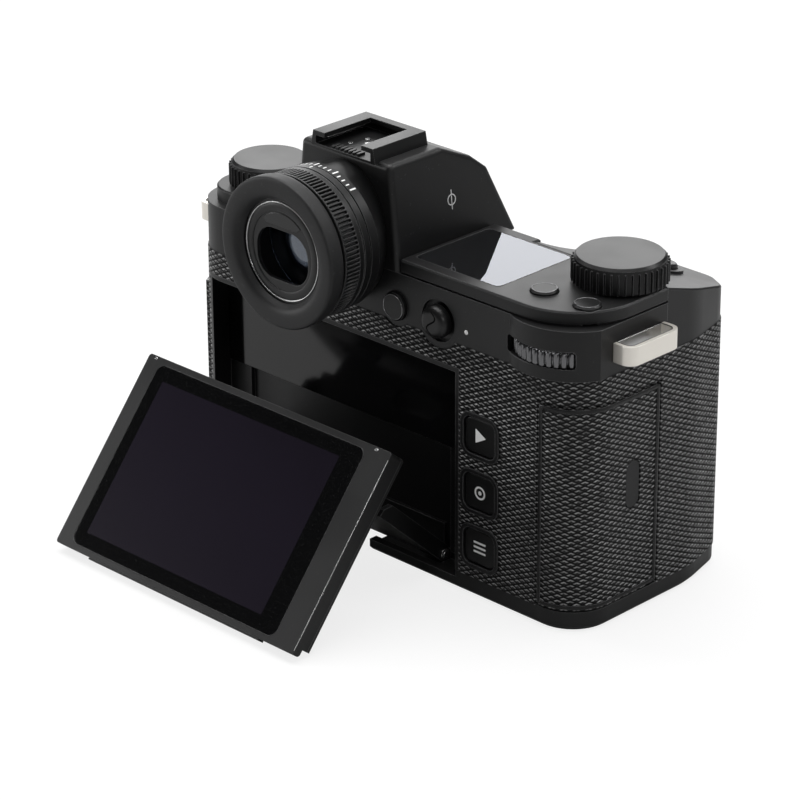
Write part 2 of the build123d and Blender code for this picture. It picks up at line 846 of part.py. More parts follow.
# Buttons on the top plate
def top_button(x, depth):
    """Round button in a hole of the right top plate."""
    with BuildPart(mode=Mode.PRIVATE) as button:
        disc(x, depth, top_button_r, top_z - top_button_stem, top_z + top_button_proud)
        chamfer(button.faces().sort_by(Axis.Z)[-1].edges(), length=top_button_proud / 2)
    return button.part


finish(top_button(inner_button_x, inner_button_depth), "top_button_inner")
finish(top_button(outer_button_x, outer_button_depth), "top_button_outer")

# Grip top: a slope that falls to the front, with the shutter button
slope = atan2(top_z - grip_front_z, grip_depth - grip_split_depth)
shutter_x = -55.5
shutter_depth = 50.0
shutter_r = 6.0
shutter_collar_r = 7.6
shutter_collar = 0.8
shutter_stem = 2.6
shutter_proud = 2.0
shutter_travel = 1.2
shutter_dish_r = 26.0
shutter_dish = 0.5


def grip_block(inset=0):
    """Top of the grip down to the front housing, drawn in by an inset."""
    with BuildPart(mode=Mode.PRIVATE) as grip:
        with BuildSketch(Plane.XY.offset(shell_top - inset)):
            add(plan(metal_inset + inset))
            zone(
                -wide,
                -grip_split_x - inset,
                y_at(grip_split_depth + inset),
                -wide,
                mode=Mode.INTERSECT,
            )
        extrude(amount=top_z - shell_top + inset)
        split(
            bisect_by=Plane(
                origin=(0, y_at(grip_split_depth), top_z - inset), z_dir=(0, -sin(slope), cos(slope))
            ),
            keep=Keep.BOTTOM,
        )
    return grip.part


shutter_top_z = top_z - (shutter_depth - grip_split_depth) * tan(slope)
shutter_plane = Plane(
    origin=(shutter_x, y_at(shutter_depth), shutter_top_z), x_dir=(1, 0, 0), z_dir=(0, -sin(slope), cos(slope))
)
with BuildPart() as grip_top:
    add(grip_block())
    chamfer(grip_top.faces().sort_by(Axis.Z)[-1].edges(), length=slab_round / 2)
    with BuildSketch(shutter_plane):
        Circle(shutter_collar_r)
    extrude(amount=shutter_collar)
    add(grip_block(wall), mode=Mode.SUBTRACT)
    with BuildSketch(shutter_plane.offset(shutter_collar)):
        Circle(shutter_r + part_gap)
    extrude(amount=-shutter_collar - 2 * wall, mode=Mode.SUBTRACT)
finish(grip_top.part, "grip_top")

with BuildPart() as shutter_button:
    with BuildSketch(shutter_plane.offset(shutter_proud)):
        Circle(shutter_r)
    extrude(amount=-shutter_proud - shutter_stem)
    chamfer(shutter_button.edges().sort_by(Axis.Z)[-1], length=shutter_dish)
    with Locations(shutter_plane.offset(shutter_proud + shutter_dish_r - shutter_dish).origin):
        Sphere(shutter_dish_r, mode=Mode.SUBTRACT)
finish(shutter_button.part, "shutter_button")

# Viewfinder hump: a side profile met by a tapering front profile
hump_wall = 1.5
hump_profile_shares = (
    (0.0, 1.0),
    (0.43, 1.0),
    (0.67, 0.83),
    (0.8, 0.67),
)
hump_edge_r = 1.5
shoe_sink = 0.6
shoe_foot_half = 11.0
shoe_top_half = 10.2
shoe_depth0 = -0.6
shoe_depth1 = 17.5


def hump_body(inset=0):
    """Hump: its side profile, with sides that lean in, drawn in by an inset."""
    length = hump_length - inset
    height = hump_height - inset
    points = [(y_at(inset), deck_z)]
    points += [
        (y_at(inset + share_y * (length - inset)), deck_z + share_z * height)
        for share_y, share_z in hump_profile_shares
    ]
    points.append((y_at(length), deck_z))
    with BuildPart(mode=Mode.PRIVATE) as hump:
        with BuildSketch(Plane.YZ.offset(-hump_foot_half - overrun)):
            with BuildLine():
                FilletPolyline(*points, radius=hump_edge_r, close=False)
                Line(points[-1], points[0])
            make_face()
        extrude(amount=2 * hump_foot_half + 2 * overrun)
        for side in (-1, 1):
            lean = Plane(
                origin=(side * (hump_foot_half - inset), 0, deck_z),
                z_dir=(side * hump_height, 0, hump_foot_half - hump_top_half),
            )
            split(bisect_by=lean, keep=Keep.BOTTOM)
        if not inset:
            flanks = hump.faces().sort_by(Axis.X)
            rims = [
                edge
                for edge in flanks[0].edges() + flanks[-1].edges()
                if edge.center().Z > deck_z + hump_edge_r and edge.center().Y < rear_y - hump_edge_r
            ]
            fillet(rims, radius=hump_edge_r)
    return hump.part


hump_top = deck_z + hump_height
with BuildPart() as viewfinder_hump:
    add(hump_body())
    with BuildPart(mode=Mode.PRIVATE) as hump_inner:
        add(hump_body(hump_wall))
        block(-wide, wide, y_at(body_depth - hump_wall), y_at(grip_depth), deck_z - overrun, hump_top)
    add(hump_inner.part, mode=Mode.SUBTRACT)
    block(
        -shoe_foot_half,
        shoe_foot_half,
        y_at(shoe_depth0) + overrun,
        y_at(shoe_depth1),
        hump_top - shoe_sink,
        hump_top + overrun,
    )
finish(viewfinder_hump.part, "viewfinder_hump")

# Hot shoe: tapered rails, closed at the front and open to the rear
channel_half = 9.35
channel_height = 2.1
shoe_lip = 1.2
shoe_gap_half = 6.3
shoe_top_z = hump_top + channel_height + shoe_lip
with BuildPart() as hot_shoe:
    with BuildSketch(upright(shoe_depth0)):
        with BuildLine():
            Polyline(
                (-shoe_foot_half, hump_top - shoe_sink),
                (-shoe_top_half, shoe_top_z),
                (shoe_top_half, shoe_top_z),
                (shoe_foot_half, hump_top - shoe_sink),
                close=True,
            )
        make_face()
    extrude(amount=shoe_depth1 - shoe_depth0)
    block(
        -channel_half,
        channel_half,
        y_at(shoe_depth0) + overrun,
        y_at(shoe_depth1 - shoe_lip),
        hump_top,
        hump_top + channel_height,
    )
    block(
        -shoe_gap_half,
        shoe_gap_half,
        y_at(shoe_depth0) + overrun,
        y_at(shoe_depth1 - 2 * shoe_lip),
        hump_top,
        shoe_top_z + overrun,
    )
finish(hot_shoe.part, "hot_shoe")

spring_thickness = 0.3
spring_slack = 0.02
with BuildPart() as hot_shoe_spring:
    for spring_side in (-1, 1):
        block(
            spring_side * (shoe_gap_half + part_gap),
            spring_side * (channel_half - part_gap),
            y_at(overrun),
            y_at(shoe_depth1 - 2 * shoe_lip),
            hump_top + channel_height - spring_slack - spring_thickness,
            hump_top + channel_height - spring_slack,
            mode=Mode.ADD,
        )
finish(hot_shoe_spring.part, "hot_shoe_spring")

# Eyepiece: barrel with the sleeve, lens, bezel, dioptre ring and eyecup, all round one axis
barrel_r = 18.2
barrel_reach = 9.0
barrel_root_half = 14.0
barrel_root_rise = 18.0
barrel_flare = 6.5
sleeve_bore_r = 13.4
lens_seat_r = 12.2
sleeve_reach = 20.2
barrel_floor = 1.6
lens_reach = 12.0
lens_thickness = 2.4
ring_r = 18.4
ring_reach0 = barrel_reach + fit_gap
ring_reach1 = 18.2
cup_reach0 = ring_reach1 + fit_gap
cup_reach1 = 23.5
cup_opening_r = 13.0
bezel_thickness = 1.0
bezel_r = 14.9
with BuildPart() as eyepiece_barrel:
    with BuildSketch(upright(0)):
        with Locations((0, eye_z)):
            Ellipse(barrel_root_half, barrel_root_rise)
    with BuildSketch(upright(-barrel_flare)):
        with Locations((0, eye_z)):
            Circle(barrel_r)
    loft()
    barrel(0, eye_z, barrel_r, -barrel_flare, -barrel_reach)
    barrel(0, eye_z, sleeve_r, -barrel_reach, -sleeve_reach)
    barrel(0, eye_z, lens_seat_r, -barrel_floor, -sleeve_reach, mode=Mode.SUBTRACT)
    barrel(0, eye_z, sleeve_bore_r, -lens_reach, -sleeve_reach, mode=Mode.SUBTRACT)
finish(eyepiece_barrel.part, "eyepiece_barrel")

with BuildPart() as eyepiece_lens:
    barrel(0, eye_z, sleeve_bore_r - seam_gap, -lens_reach, -lens_reach - lens_thickness)
    lens_rim = eyepiece_lens.faces().sort_by(Axis.Y)[-1].edges()
    chamfer(lens_rim, length=lens_thickness / 2)
finish(eyepiece_lens.part, "eyepiece_lens")

display_width = 16.0
display_height = 12.0
with BuildPart() as evf_display:
    block(
        -display_width / 2,
        display_width / 2,
        y_at(-barrel_floor),
        y_at(-barrel_floor - display_thickness),
        eye_z - display_height / 2,
        eye_z + display_height / 2,
        mode=Mode.ADD,
    )
finish(evf_display.part, "evf_display")

eye_window_width = 17.6
eye_window_height = 13.0
eye_window_r = 5.6
eye_window_drop = 1.2
sensor_window_width = 7.0
sensor_window_height = 2.2
sensor_window_rise = 7.6
with BuildPart() as eyepiece_bezel:
    barrel(0, eye_z, bezel_r, -sleeve_reach, -sleeve_reach - bezel_thickness)
    with BuildSketch(upright(-sleeve_reach - bezel_thickness)):
        with Locations((0, eye_z - eye_window_drop)):
            RectangleRounded(eye_window_width, eye_window_height, eye_window_r)
        with Locations((0, eye_z + sensor_window_rise)):
            SlotOverall(sensor_window_width, sensor_window_height)
    extrude(amount=bezel_thickness, mode=Mode.SUBTRACT)
finish(eyepiece_bezel.part, "eyepiece_bezel")

ring_slots = 60
slot_sink = 0.6
slot_width_share = 0.45
ring_edge = 0.9
with BuildPart() as dioptre_ring:
    barrel(0, eye_z, ring_r, -ring_reach0, -ring_reach1)
    barrel(0, eye_z, sleeve_r + running_gap, -ring_reach0, -ring_reach1, mode=Mode.SUBTRACT)
    with BuildSketch(upright(-ring_reach1 + ring_edge)):
        with Locations((0, eye_z)):
            with PolarLocations(ring_r, ring_slots):
                Rectangle(2 * slot_sink, 2 * pi * ring_r / ring_slots * slot_width_share)
    extrude(amount=ring_reach1 - ring_reach0 - 2 * ring_edge, mode=Mode.SUBTRACT)
finish(dioptre_ring.part, "dioptre_ring")

cup_waist_r = 17.9
cup_shoulder = 1.2
cup_edge = 0.6
cup_crown = 0.2
cup_roll = 1.6
cup_floor = sleeve_reach + bezel_thickness + running_gap
cup_profile = (
    (sleeve_r + running_gap, cup_reach0),
    (cup_waist_r, cup_reach0),
    (eyecup_r, cup_reach0 + cup_shoulder),
    (eyecup_r, cup_reach1 - cup_edge),
    (eyecup_r - cup_edge, cup_reach1),
    (cup_opening_r + cup_roll, cup_reach1 - cup_crown),
    (cup_opening_r + cup_roll / 3, cup_reach1 - cup_roll / 2),
    (cup_opening_r, cup_reach1 - cup_roll),
    (cup_opening_r, cup_floor),
    (sleeve_r + running_gap, cup_floor),
)
with BuildPart() as eyecup:
    with BuildSketch(Plane.YZ):
        with BuildLine():
            Polyline(*[(y_at(-reach), eye_z + radius) for radius, reach in cup_profile], close=True)
        make_face()
    revolve(axis=Axis((0, 0, eye_z), (0, 1, 0)))
finish(eyecup.part, "eyecup")

# Round rear button and the joystick on its gimbal
button_proud = 1.0
button_back = 2.6
with BuildPart() as rear_button:
    barrel(lobe_button_x, lobe_button_z, round_button_r, -button_proud, button_back)
    chamfer(rear_button.faces().sort_by(Axis.Y)[-1].edges(), length=button_proud / 3)
finish(rear_button.part, "rear_button")

stick_r = 4.2
stick_stem_r = 1.1
stick_proud = 2.4
stick_round_share = 0.8
stick_back = 0.4
gimbal_r = 3.4
gimbal_bore_r = 1.6
gimbal_depth = 3.3
gimbal_thickness = 0.8
with BuildPart() as joystick_gimbal:
    barrel(stick_x, stick_z, gimbal_r, gimbal_depth, gimbal_depth + gimbal_thickness)
    barrel(stick_x, stick_z, gimbal_bore_r, gimbal_depth, gimbal_depth + gimbal_thickness, mode=Mode.SUBTRACT)
finish(joystick_gimbal.part, "joystick_gimbal")

with BuildPart() as joystick_cap:
    barrel(stick_x, stick_z, stick_r, -stick_proud, stick_back)
    fillet(joystick_cap.faces().sort_by(Axis.Y)[-1].edges(), radius=stick_proud * stick_round_share)
    barrel(stick_x, stick_z, stick_stem_r, stick_back, gimbal_depth + gimbal_thickness)
finish(joystick_cap.part, "joystick_cap")

# Rear keys
key_sink = 0.1
key_thickness = 2.3
for key_name, key_z in zip(("play_key", "fn_key", "menu_key"), key_heights):
    with BuildPart() as key:
        with BuildSketch(upright(key_sink)):
            with Locations((key_x, key_z)):
                RectangleRounded(key_width, key_height, key_r)
        extrude(amount=key_thickness)
        chamfer(key.faces().sort_by(Axis.Y)[-1].edges(), length=key_sink * 4)
    finish(key.part, key_name)

# Strap lugs: flat loops on both sides of the top band
lug_length = 18.2
right_lug_depth = 20.8
left_lug_depth = body_depth / 2
lug_z0 = shell_top + 3.5
lug_z1 = lug_z0 + 4.8
lug_wall = 1.2
lug_reach = 5.6
lug_inner_r = 1.6
with BuildPart() as strap_lugs:
    for lug_side, face_x, lug_depth in (
        (-1, body_right - metal_inset, right_lug_depth),
        (1, body_left - metal_inset, left_lug_depth),
    ):
        inner = lug_side * (face_x - lug_wall)
        outer = lug_side * (face_x + lug_reach - lug_wall)
        with BuildSketch(Plane.XY.offset(lug_z0)):
            with Locations(((inner + outer) / 2, y_at(lug_depth))):
                RectangleRounded(
                    abs(outer - inner) + 2 * lug_wall,
                    lug_length,
                    lug_inner_r + lug_wall,
                )
                RectangleRounded(
                    abs(outer - inner),
                    lug_length - 2 * lug_wall,
                    lug_inner_r,
                    mode=Mode.SUBTRACT,
                )
            zone(0, lug_side * face_x, y_at(lug_depth - lug_length), y_at(lug_depth + lug_length))
        extrude(amount=lug_z1 - lug_z0)
finish(strap_lugs.part, "strap_lugs")

# Lens mount ring with its three claws, contact block, release button and lock pin
collar_depth = flange_depth - 4.4
claw_depth = flange_depth - 3.0
claw_r = 24.2
claw_count = 3
claw_angle = 44.0
claw_relief = 0.6
with BuildPart() as lens_mount_ring:
    barrel(0, lens_z, flange_r, boss_depth, flange_depth)
    barrel(0, lens_z, collar_r, collar_depth, boss_depth)
    barrel(0, lens_z, throat_r, collar_depth, flange_depth, mode=Mode.SUBTRACT)
    barrel(0, lens_z, throat_r + claw_relief, collar_depth, claw_depth, mode=Mode.SUBTRACT)
    with BuildSketch(upright(collar_depth)):
        with Locations((0, lens_z)):
            with PolarLocations(0, claw_count):
                with BuildLine(mode=Mode.PRIVATE) as claw_line:
                    claw_out = CenterArc((0, 0), throat_r + wall / 2, -claw_angle / 2, claw_angle)
                    claw_in = CenterArc((0, 0), claw_r, -claw_angle / 2, claw_angle)
                    Line(claw_out @ 0, claw_in @ 0)
                    Line(claw_out @ 1, claw_in @ 1)
                add(make_face(claw_line.line, mode=Mode.PRIVATE))
    extrude(amount=claw_depth - collar_depth)
    barrel(lock_x, lock_z, lock_r + running_gap, boss_depth, flange_depth, mode=Mode.SUBTRACT)
finish(lens_mount_ring.part, "lens_mount_ring")

contact_angle = 62.0
contact_in_r = 22.6
contact_out_r = collar_r - seam_gap
contact_depth = collar_depth - 1.6
with BuildPart() as mount_contact_block:
    with BuildSketch(upright(contact_depth)):
        with BuildLine(Location((0, lens_z))):
            contact_out = CenterArc((0, lens_z), contact_out_r, -90 - contact_angle / 2, contact_angle)
            contact_in = CenterArc((0, lens_z), contact_in_r, -90 - contact_angle / 2, contact_angle)
            Line(contact_out @ 0, contact_in @ 0)
            Line(contact_out @ 1, contact_in @ 1)
        make_face()
    extrude(amount=collar_depth - contact_depth)
finish(mount_contact_block.part, "mount_contact_block")

release_depth = 31.6
with BuildPart() as lens_release_button:
    barrel(release_x, release_z, release_r, release_depth, body_depth + release_proud)
    chamfer(lens_release_button.faces().sort_by(Axis.Y)[0].edges(), length=release_proud / 4)
finish(lens_release_button.part, "lens_release_button")

lock_proud = 0.9
with BuildPart() as lens_lock_pin:
    barrel(lock_x, lock_z, lock_r, lock_depth, flange_depth + lock_proud)
finish(lens_lock_pin.part, "lens_lock_pin")

# Board, sensor and shutter, one behind the other
board_thickness = 1.4
board_x0 = -38.0
board_x1 = 45.0
board_bottom = 10.0
board_top = shell_top - 3.5
sensor_width = 39.0
sensor_height = 27.0
sensor_thickness = 1.5
frame_width = 54.0
frame_height = 44.0
frame_thickness = 3.0
frame_depth = sensor_depth - sensor_thickness - frame_thickness
sensor_post_x = 24.0
sensor_post_z = 19.0
shutter_frame_depth = 22.0
shutter_thickness = 4.5
shutter_width = 56.0
shutter_height = 46.0
gate_width = 37.0
gate_height = 25.5
with BuildPart() as main_board:
    block(
        board_x0,
        board_x1,
        y_at(board_depth),
        y_at(board_depth + board_thickness),
        board_bottom,
        board_top,
        mode=Mode.ADD,
    )
finish(main_board.part, "main_board")

with BuildPart() as sensor_frame:
    with BuildSketch(upright(frame_depth)):
        with Locations((0, lens_z)):
            RectangleRounded(frame_width, frame_height, wall)
    extrude(amount=frame_thickness)
    for side_x in (-sensor_post_x, sensor_post_x):
        for side_z in (-sensor_post_z, sensor_post_z):
            barrel(side_x, lens_z + side_z, post_r, board_depth + board_thickness, shutter_frame_depth)
finish(sensor_frame.part, "sensor_frame")

with BuildPart() as image_sensor:
    with BuildSketch(upright(sensor_depth - sensor_thickness)):
        with Locations((0, lens_z)):
            RectangleRounded(sensor_width, sensor_height, wall)
    extrude(amount=sensor_thickness)
finish(image_sensor.part, "image_sensor")

with BuildPart() as shutter_unit:
    with BuildSketch(upright(shutter_frame_depth)):
        with Locations((0, lens_z)):
            RectangleRounded(shutter_width, shutter_height, wall)
            Rectangle(gate_width, gate_height, mode=Mode.SUBTRACT)
    extrude(amount=shutter_thickness)
finish(shutter_unit.part, "shutter_unit")

# Screen arm: a channel hinged at the foot of the recess, with knuckles at its upper end
swing = radians(arm_swing)
tilt = radians(panel_tilt)
flange_in = 33.6
flange_out = 35.0
flange_inner = 2.2
flange_outer = 1.9
flange_length = 29.0
arm_plate = 1.2
arm_foot = 4.0
lower_pin_r = 0.9
upper_pin_r = 0.8
knuckle_r = 1.4
upper_offset = hinge_depth - upper_hinge_depth
arm_knuckle_in = 20.0
arm_knuckle_out = 30.0
arm_shoulder = 31.5
lower_knuckle_in = 28.0
lower_knuckle_out = 33.3
arm_plane = Plane(
    origin=(screen_x, y_at(hinge_depth), hinge_z), x_dir=(-1, 0, 0), z_dir=(0, cos(swing), -sin(swing))
)
arm_side = Plane(origin=arm_plane.origin, x_dir=arm_plane.y_dir, z_dir=arm_plane.x_dir)
cable_width = 16.0
cable_height = 6.0
with BuildPart() as screen_arm:
    with BuildSketch(arm_plane.offset(flange_outer - arm_plate)):
        with BuildLine():
            Polyline(
                (-flange_in, arm_foot),
                (flange_in, arm_foot),
                (flange_in, arm_shoulder),
                (arm_knuckle_out, arm_shoulder),
                (arm_knuckle_out, arm_length),
                (arm_knuckle_in, arm_length),
                (arm_knuckle_in, arm_length - 2 * knuckle_r),
                (-arm_knuckle_in, arm_length - 2 * knuckle_r),
                (-arm_knuckle_in, arm_length),
                (-arm_knuckle_out, arm_length),
                (-arm_knuckle_out, arm_shoulder),
                (-flange_in, arm_shoulder),
                close=True,
            )
        make_face()
        with Locations((0, arm_length - 4 * knuckle_r - cable_height / 2)):
            SlotOverall(cable_width, cable_height, mode=Mode.SUBTRACT)
    extrude(amount=arm_plate)
    for side_start in (flange_in, -flange_out):
        with BuildSketch(arm_side.offset(side_start)):
            Circle(flange_outer)
            with BuildLine():
                Polyline(
                    (0, -flange_inner),
                    (flange_length - flange_inner, -flange_inner),
                    (flange_length, 0),
                    (flange_length, flange_outer),
                    (0, flange_outer),
                    close=True,
                )
            make_face()
            Circle(lower_pin_r + running_gap, mode=Mode.SUBTRACT)
        extrude(amount=flange_out - flange_in)
    for side_start in (arm_knuckle_in, -arm_knuckle_out):
        with BuildSketch(arm_side.offset(side_start)):
            with Locations((arm_length, upper_offset)):
                Circle(knuckle_r)
        extrude(amount=arm_knuckle_out - arm_knuckle_in)
        with BuildSketch(arm_side.offset(side_start)):
            with Locations((arm_length, upper_offset)):
                Circle(upper_pin_r)
        extrude(amount=arm_knuckle_out - arm_knuckle_in, mode=Mode.SUBTRACT)
finish(screen_arm.part, "screen_arm")

bracket_in = 31.0
bracket_out = 34.0
with BuildPart() as upper_hinge_pin:
    for side_start in (arm_knuckle_in, -bracket_out):
        with BuildSketch(arm_side.offset(side_start)):
            with Locations((arm_length, upper_offset)):
                Circle(upper_pin_r)
        extrude(amount=bracket_out - arm_knuckle_in)
finish(upper_hinge_pin.part, "upper_hinge_pin")

# Lower hinge: bracket in the pocket, two short pins and their clips
lower_r = 1.9
bracket_thickness = 1.0
bracket_top = 12.0
side_plane = Plane(origin=(screen_x, y_at(hinge_depth), hinge_z), x_dir=(0, 1, 0), z_dir=(1, 0, 0))
with BuildPart() as arm_bracket:
    block(
        screen_x - lower_knuckle_out,
        screen_x + lower_knuckle_out,
        y_at(pocket_depth - bracket_thickness),
        y_at(pocket_depth),
        hinge_z - lower_r,
        bracket_top,
        mode=Mode.ADD,
    )
    block(
        screen_x - notch_half,
        screen_x + notch_half,
        y_at(hinge_depth),
        y_at(notch_depth),
        hinge_z - 2 * lower_r,
        base_height + lower_r,
    )
    for side_start in (lower_knuckle_in, -lower_knuckle_out):
        with BuildSketch(side_plane.offset(side_start)):
            Circle(lower_r)
            zone(0, hinge_depth - pocket_depth, -lower_r, lower_r, mode=Mode.ADD)
            Circle(lower_pin_r, mode=Mode.SUBTRACT)
        extrude(amount=lower_knuckle_out - lower_knuckle_in)
finish(arm_bracket.part, "arm_bracket")

clip_thickness = 0.3
clip_r = 1.6
pin_end = flange_out + seam_gap + clip_thickness + seam_gap
with BuildPart() as lower_hinge_pins:
    for side_start in (lower_knuckle_in, -pin_end):
        with BuildSketch(side_plane.offset(side_start)):
            Circle(lower_pin_r)
        extrude(amount=pin_end - lower_knuckle_in)
finish(lower_hinge_pins.part, "lower_hinge_pins")

with BuildPart() as hinge_clips:
    for side_start in (flange_out + seam_gap, -flange_out - seam_gap - clip_thickness):
        with BuildSketch(side_plane.offset(side_start)):
            Circle(clip_r)
            Circle(lower_pin_r, mode=Mode.SUBTRACT)
        extrude(amount=clip_thickness)
finish(hinge_clips.part, "hinge_clips")

# Screen: frame with a recessed back, glass, back cover and the bracket on the upper hinge
panel_mid = hinge_z + panel_height / 2
pivot_up = hinge_z + arm_length - panel_mid
pivot_in = upper_hinge_depth
upper_y = y_at(hinge_depth) + arm_length * sin(swing) + upper_offset * cos(swing)
upper_z = hinge_z + arm_length * cos(swing) - upper_offset * sin(swing)
panel_plane = Plane(
    origin=(
        screen_x,
        upper_y + pivot_in * cos(tilt) + pivot_up * sin(tilt),
        upper_z + pivot_in * sin(tilt) - pivot_up * cos(tilt),
    ),
    x_dir=(-1, 0, 0),
    z_dir=(0, cos(tilt), sin(tilt)),
)
panel_side = Plane(origin=panel_plane.origin, x_dir=panel_plane.y_dir, z_dir=panel_plane.x_dir)
panel_floor = 2.5
panel_rail_x = 35.8
panel_rail_room = 2.6
panel_rail_y = pivot_up + panel_rail_room
back_cover = 0.8
panel_corner_r = 0.9
glass_width = 73.8
glass_height = 49.9
glass_x = -1.5
glass_thickness = 0.9
glass_sink = 0.05
glass_r = 2.4
lip_drop = 0.5
lip_depth0 = 0.8
lip_depth1 = 2.5
lip_half = 31.0
rail_chamfer = 2.0


def rail_plan():
    """Face of the screen's back around the recess that the arm folds into."""
    with BuildSketch(mode=Mode.PRIVATE) as sketch:
        RectangleRounded(panel_width, panel_height, panel_corner_r)
        zone(-panel_rail_x, panel_rail_x, -panel_height, panel_rail_y)
        zone(-panel_width, panel_width, -panel_height, -panel_height / 2 + rail_chamfer)
    return sketch.sketch


with BuildPart() as screen_frame:
    with BuildSketch(panel_plane):
        RectangleRounded(panel_width, panel_height, panel_corner_r)
    extrude(amount=-panel_floor)
    with BuildSketch(panel_plane.offset(-panel_floor)):
        add(rail_plan())
    extrude(amount=panel_floor + back_cover - panel_thickness)
    with BuildSketch(panel_plane):
        with Locations((glass_x, 0)):
            RectangleRounded(glass_width, glass_height, glass_r)
    extrude(amount=-glass_thickness - glass_sink, mode=Mode.SUBTRACT)
    with BuildSketch(panel_plane.offset(-lip_depth0)):
        with Locations((0, -panel_height / 2)):
            Rectangle(2 * lip_half, 2 * lip_drop)
    extrude(amount=lip_depth0 - lip_depth1)
finish(screen_frame.part, "screen_frame")

with BuildPart() as screen_glass:
    with BuildSketch(panel_plane.offset(-glass_sink)):
        with Locations((glass_x, 0)):
            RectangleRounded(
                glass_width - 2 * running_gap,
                glass_height - 2 * running_gap,
                glass_r - running_gap,
            )
    extrude(amount=-glass_thickness)
finish(screen_glass.part, "screen_glass")

with BuildPart() as screen_back_cover:
    with BuildSketch(panel_plane.offset(back_cover - panel_thickness)):
        add(rail_plan())
    extrude(amount=-back_cover)
finish(screen_back_cover.part, "screen_back_cover")

bracket_plate = 0.6
bracket_plate_x0 = 30.5
bracket_plate_x1 = 35.4
bracket_plate_y0 = panel_rail_y - 11.5
with BuildPart() as screen_bracket:
    for side in (-1, 1):
        with BuildSketch(panel_plane.offset(-panel_floor)):
            zone(
                side * bracket_plate_x0,
                side * bracket_plate_x1,
                bracket_plate_y0,
                panel_rail_y - seam_gap,
                mode=Mode.ADD,
            )
        extrude(amount=-bracket_plate)
    for side_start in (bracket_in, -bracket_out):
        with BuildSketch(panel_side.offset(side_start)):
            with Locations((pivot_up, -pivot_in)):
                Circle(knuckle_r)
            zone(pivot_up - knuckle_r, pivot_up + knuckle_r, -pivot_in, -panel_floor, mode=Mode.ADD)
            with Locations((pivot_up, -pivot_in)):
                Circle(upper_pin_r + running_gap, mode=Mode.SUBTRACT)
        extrude(amount=bracket_out - bracket_in)
finish(screen_bracket.part, "screen_bracket")
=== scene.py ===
import bmesh
import bpy
import json
import math
import numpy as np
from mathutils import Matrix, Vector


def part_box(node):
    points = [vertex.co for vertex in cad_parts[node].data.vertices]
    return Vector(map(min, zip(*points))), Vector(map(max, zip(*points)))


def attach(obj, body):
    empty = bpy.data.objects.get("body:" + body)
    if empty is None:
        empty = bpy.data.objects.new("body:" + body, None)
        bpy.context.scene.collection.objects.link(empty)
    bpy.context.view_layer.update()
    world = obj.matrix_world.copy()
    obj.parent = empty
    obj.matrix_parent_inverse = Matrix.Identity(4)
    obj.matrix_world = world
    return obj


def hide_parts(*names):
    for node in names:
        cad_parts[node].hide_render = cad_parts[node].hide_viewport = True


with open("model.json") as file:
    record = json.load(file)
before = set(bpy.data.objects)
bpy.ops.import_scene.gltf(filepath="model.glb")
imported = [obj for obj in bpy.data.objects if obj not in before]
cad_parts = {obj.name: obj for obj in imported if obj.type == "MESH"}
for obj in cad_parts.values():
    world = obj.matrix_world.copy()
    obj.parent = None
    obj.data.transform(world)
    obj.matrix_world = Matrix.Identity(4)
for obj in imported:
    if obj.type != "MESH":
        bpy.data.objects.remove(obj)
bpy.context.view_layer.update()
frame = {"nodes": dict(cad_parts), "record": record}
nodes = frame["nodes"]
MM = 0.001

# Sizes of the body in millimetres that several pieces share
corner_x, corner_y, corner_radius = -65.3, 5.5, 11.5
eye_up = 85.0
eye = (0.0, eye_up)
mount_up = 42.0
screen_middle = (6.4, 55.09, 23.22)
screen_cos, screen_sin = 0.7738, 0.6334
lug_middles = ((-1, -76.52, -3.8), (1, 57.02, 0.1))


# Camera at the photograph's view

def place_camera():
    """Look at the middle of the body from a distance back along the line of sight, with a slight roll."""
    right = Vector((-0.7107, -0.7035, 0.0)).normalized()
    back = Vector((-0.642, 0.648, 0.409)).normalized()
    distance = 855.7
    up = back.cross(right)
    roll = math.radians(-0.29)
    tilted_right = right * math.cos(roll) + up * math.sin(roll)
    tilted_up = up * math.cos(roll) - right * math.sin(roll)
    target = Vector((0, -2.3, 50.0)) - right * 0.70 - up * 15.36
    data = bpy.data.cameras.new("photo_view")
    data.lens = 153.46
    data.sensor_width = 36
    data.clip_start = 0.05
    camera = bpy.data.objects.new("photo_view", data)
    bpy.context.scene.collection.objects.link(camera)
    turn = Matrix((tilted_right, tilted_up, back)).transposed().to_4x4()
    camera.matrix_world = Matrix.Translation((target + back * distance) * MM) @ turn
    bpy.context.scene.camera = camera


place_camera()


# Shader node helpers

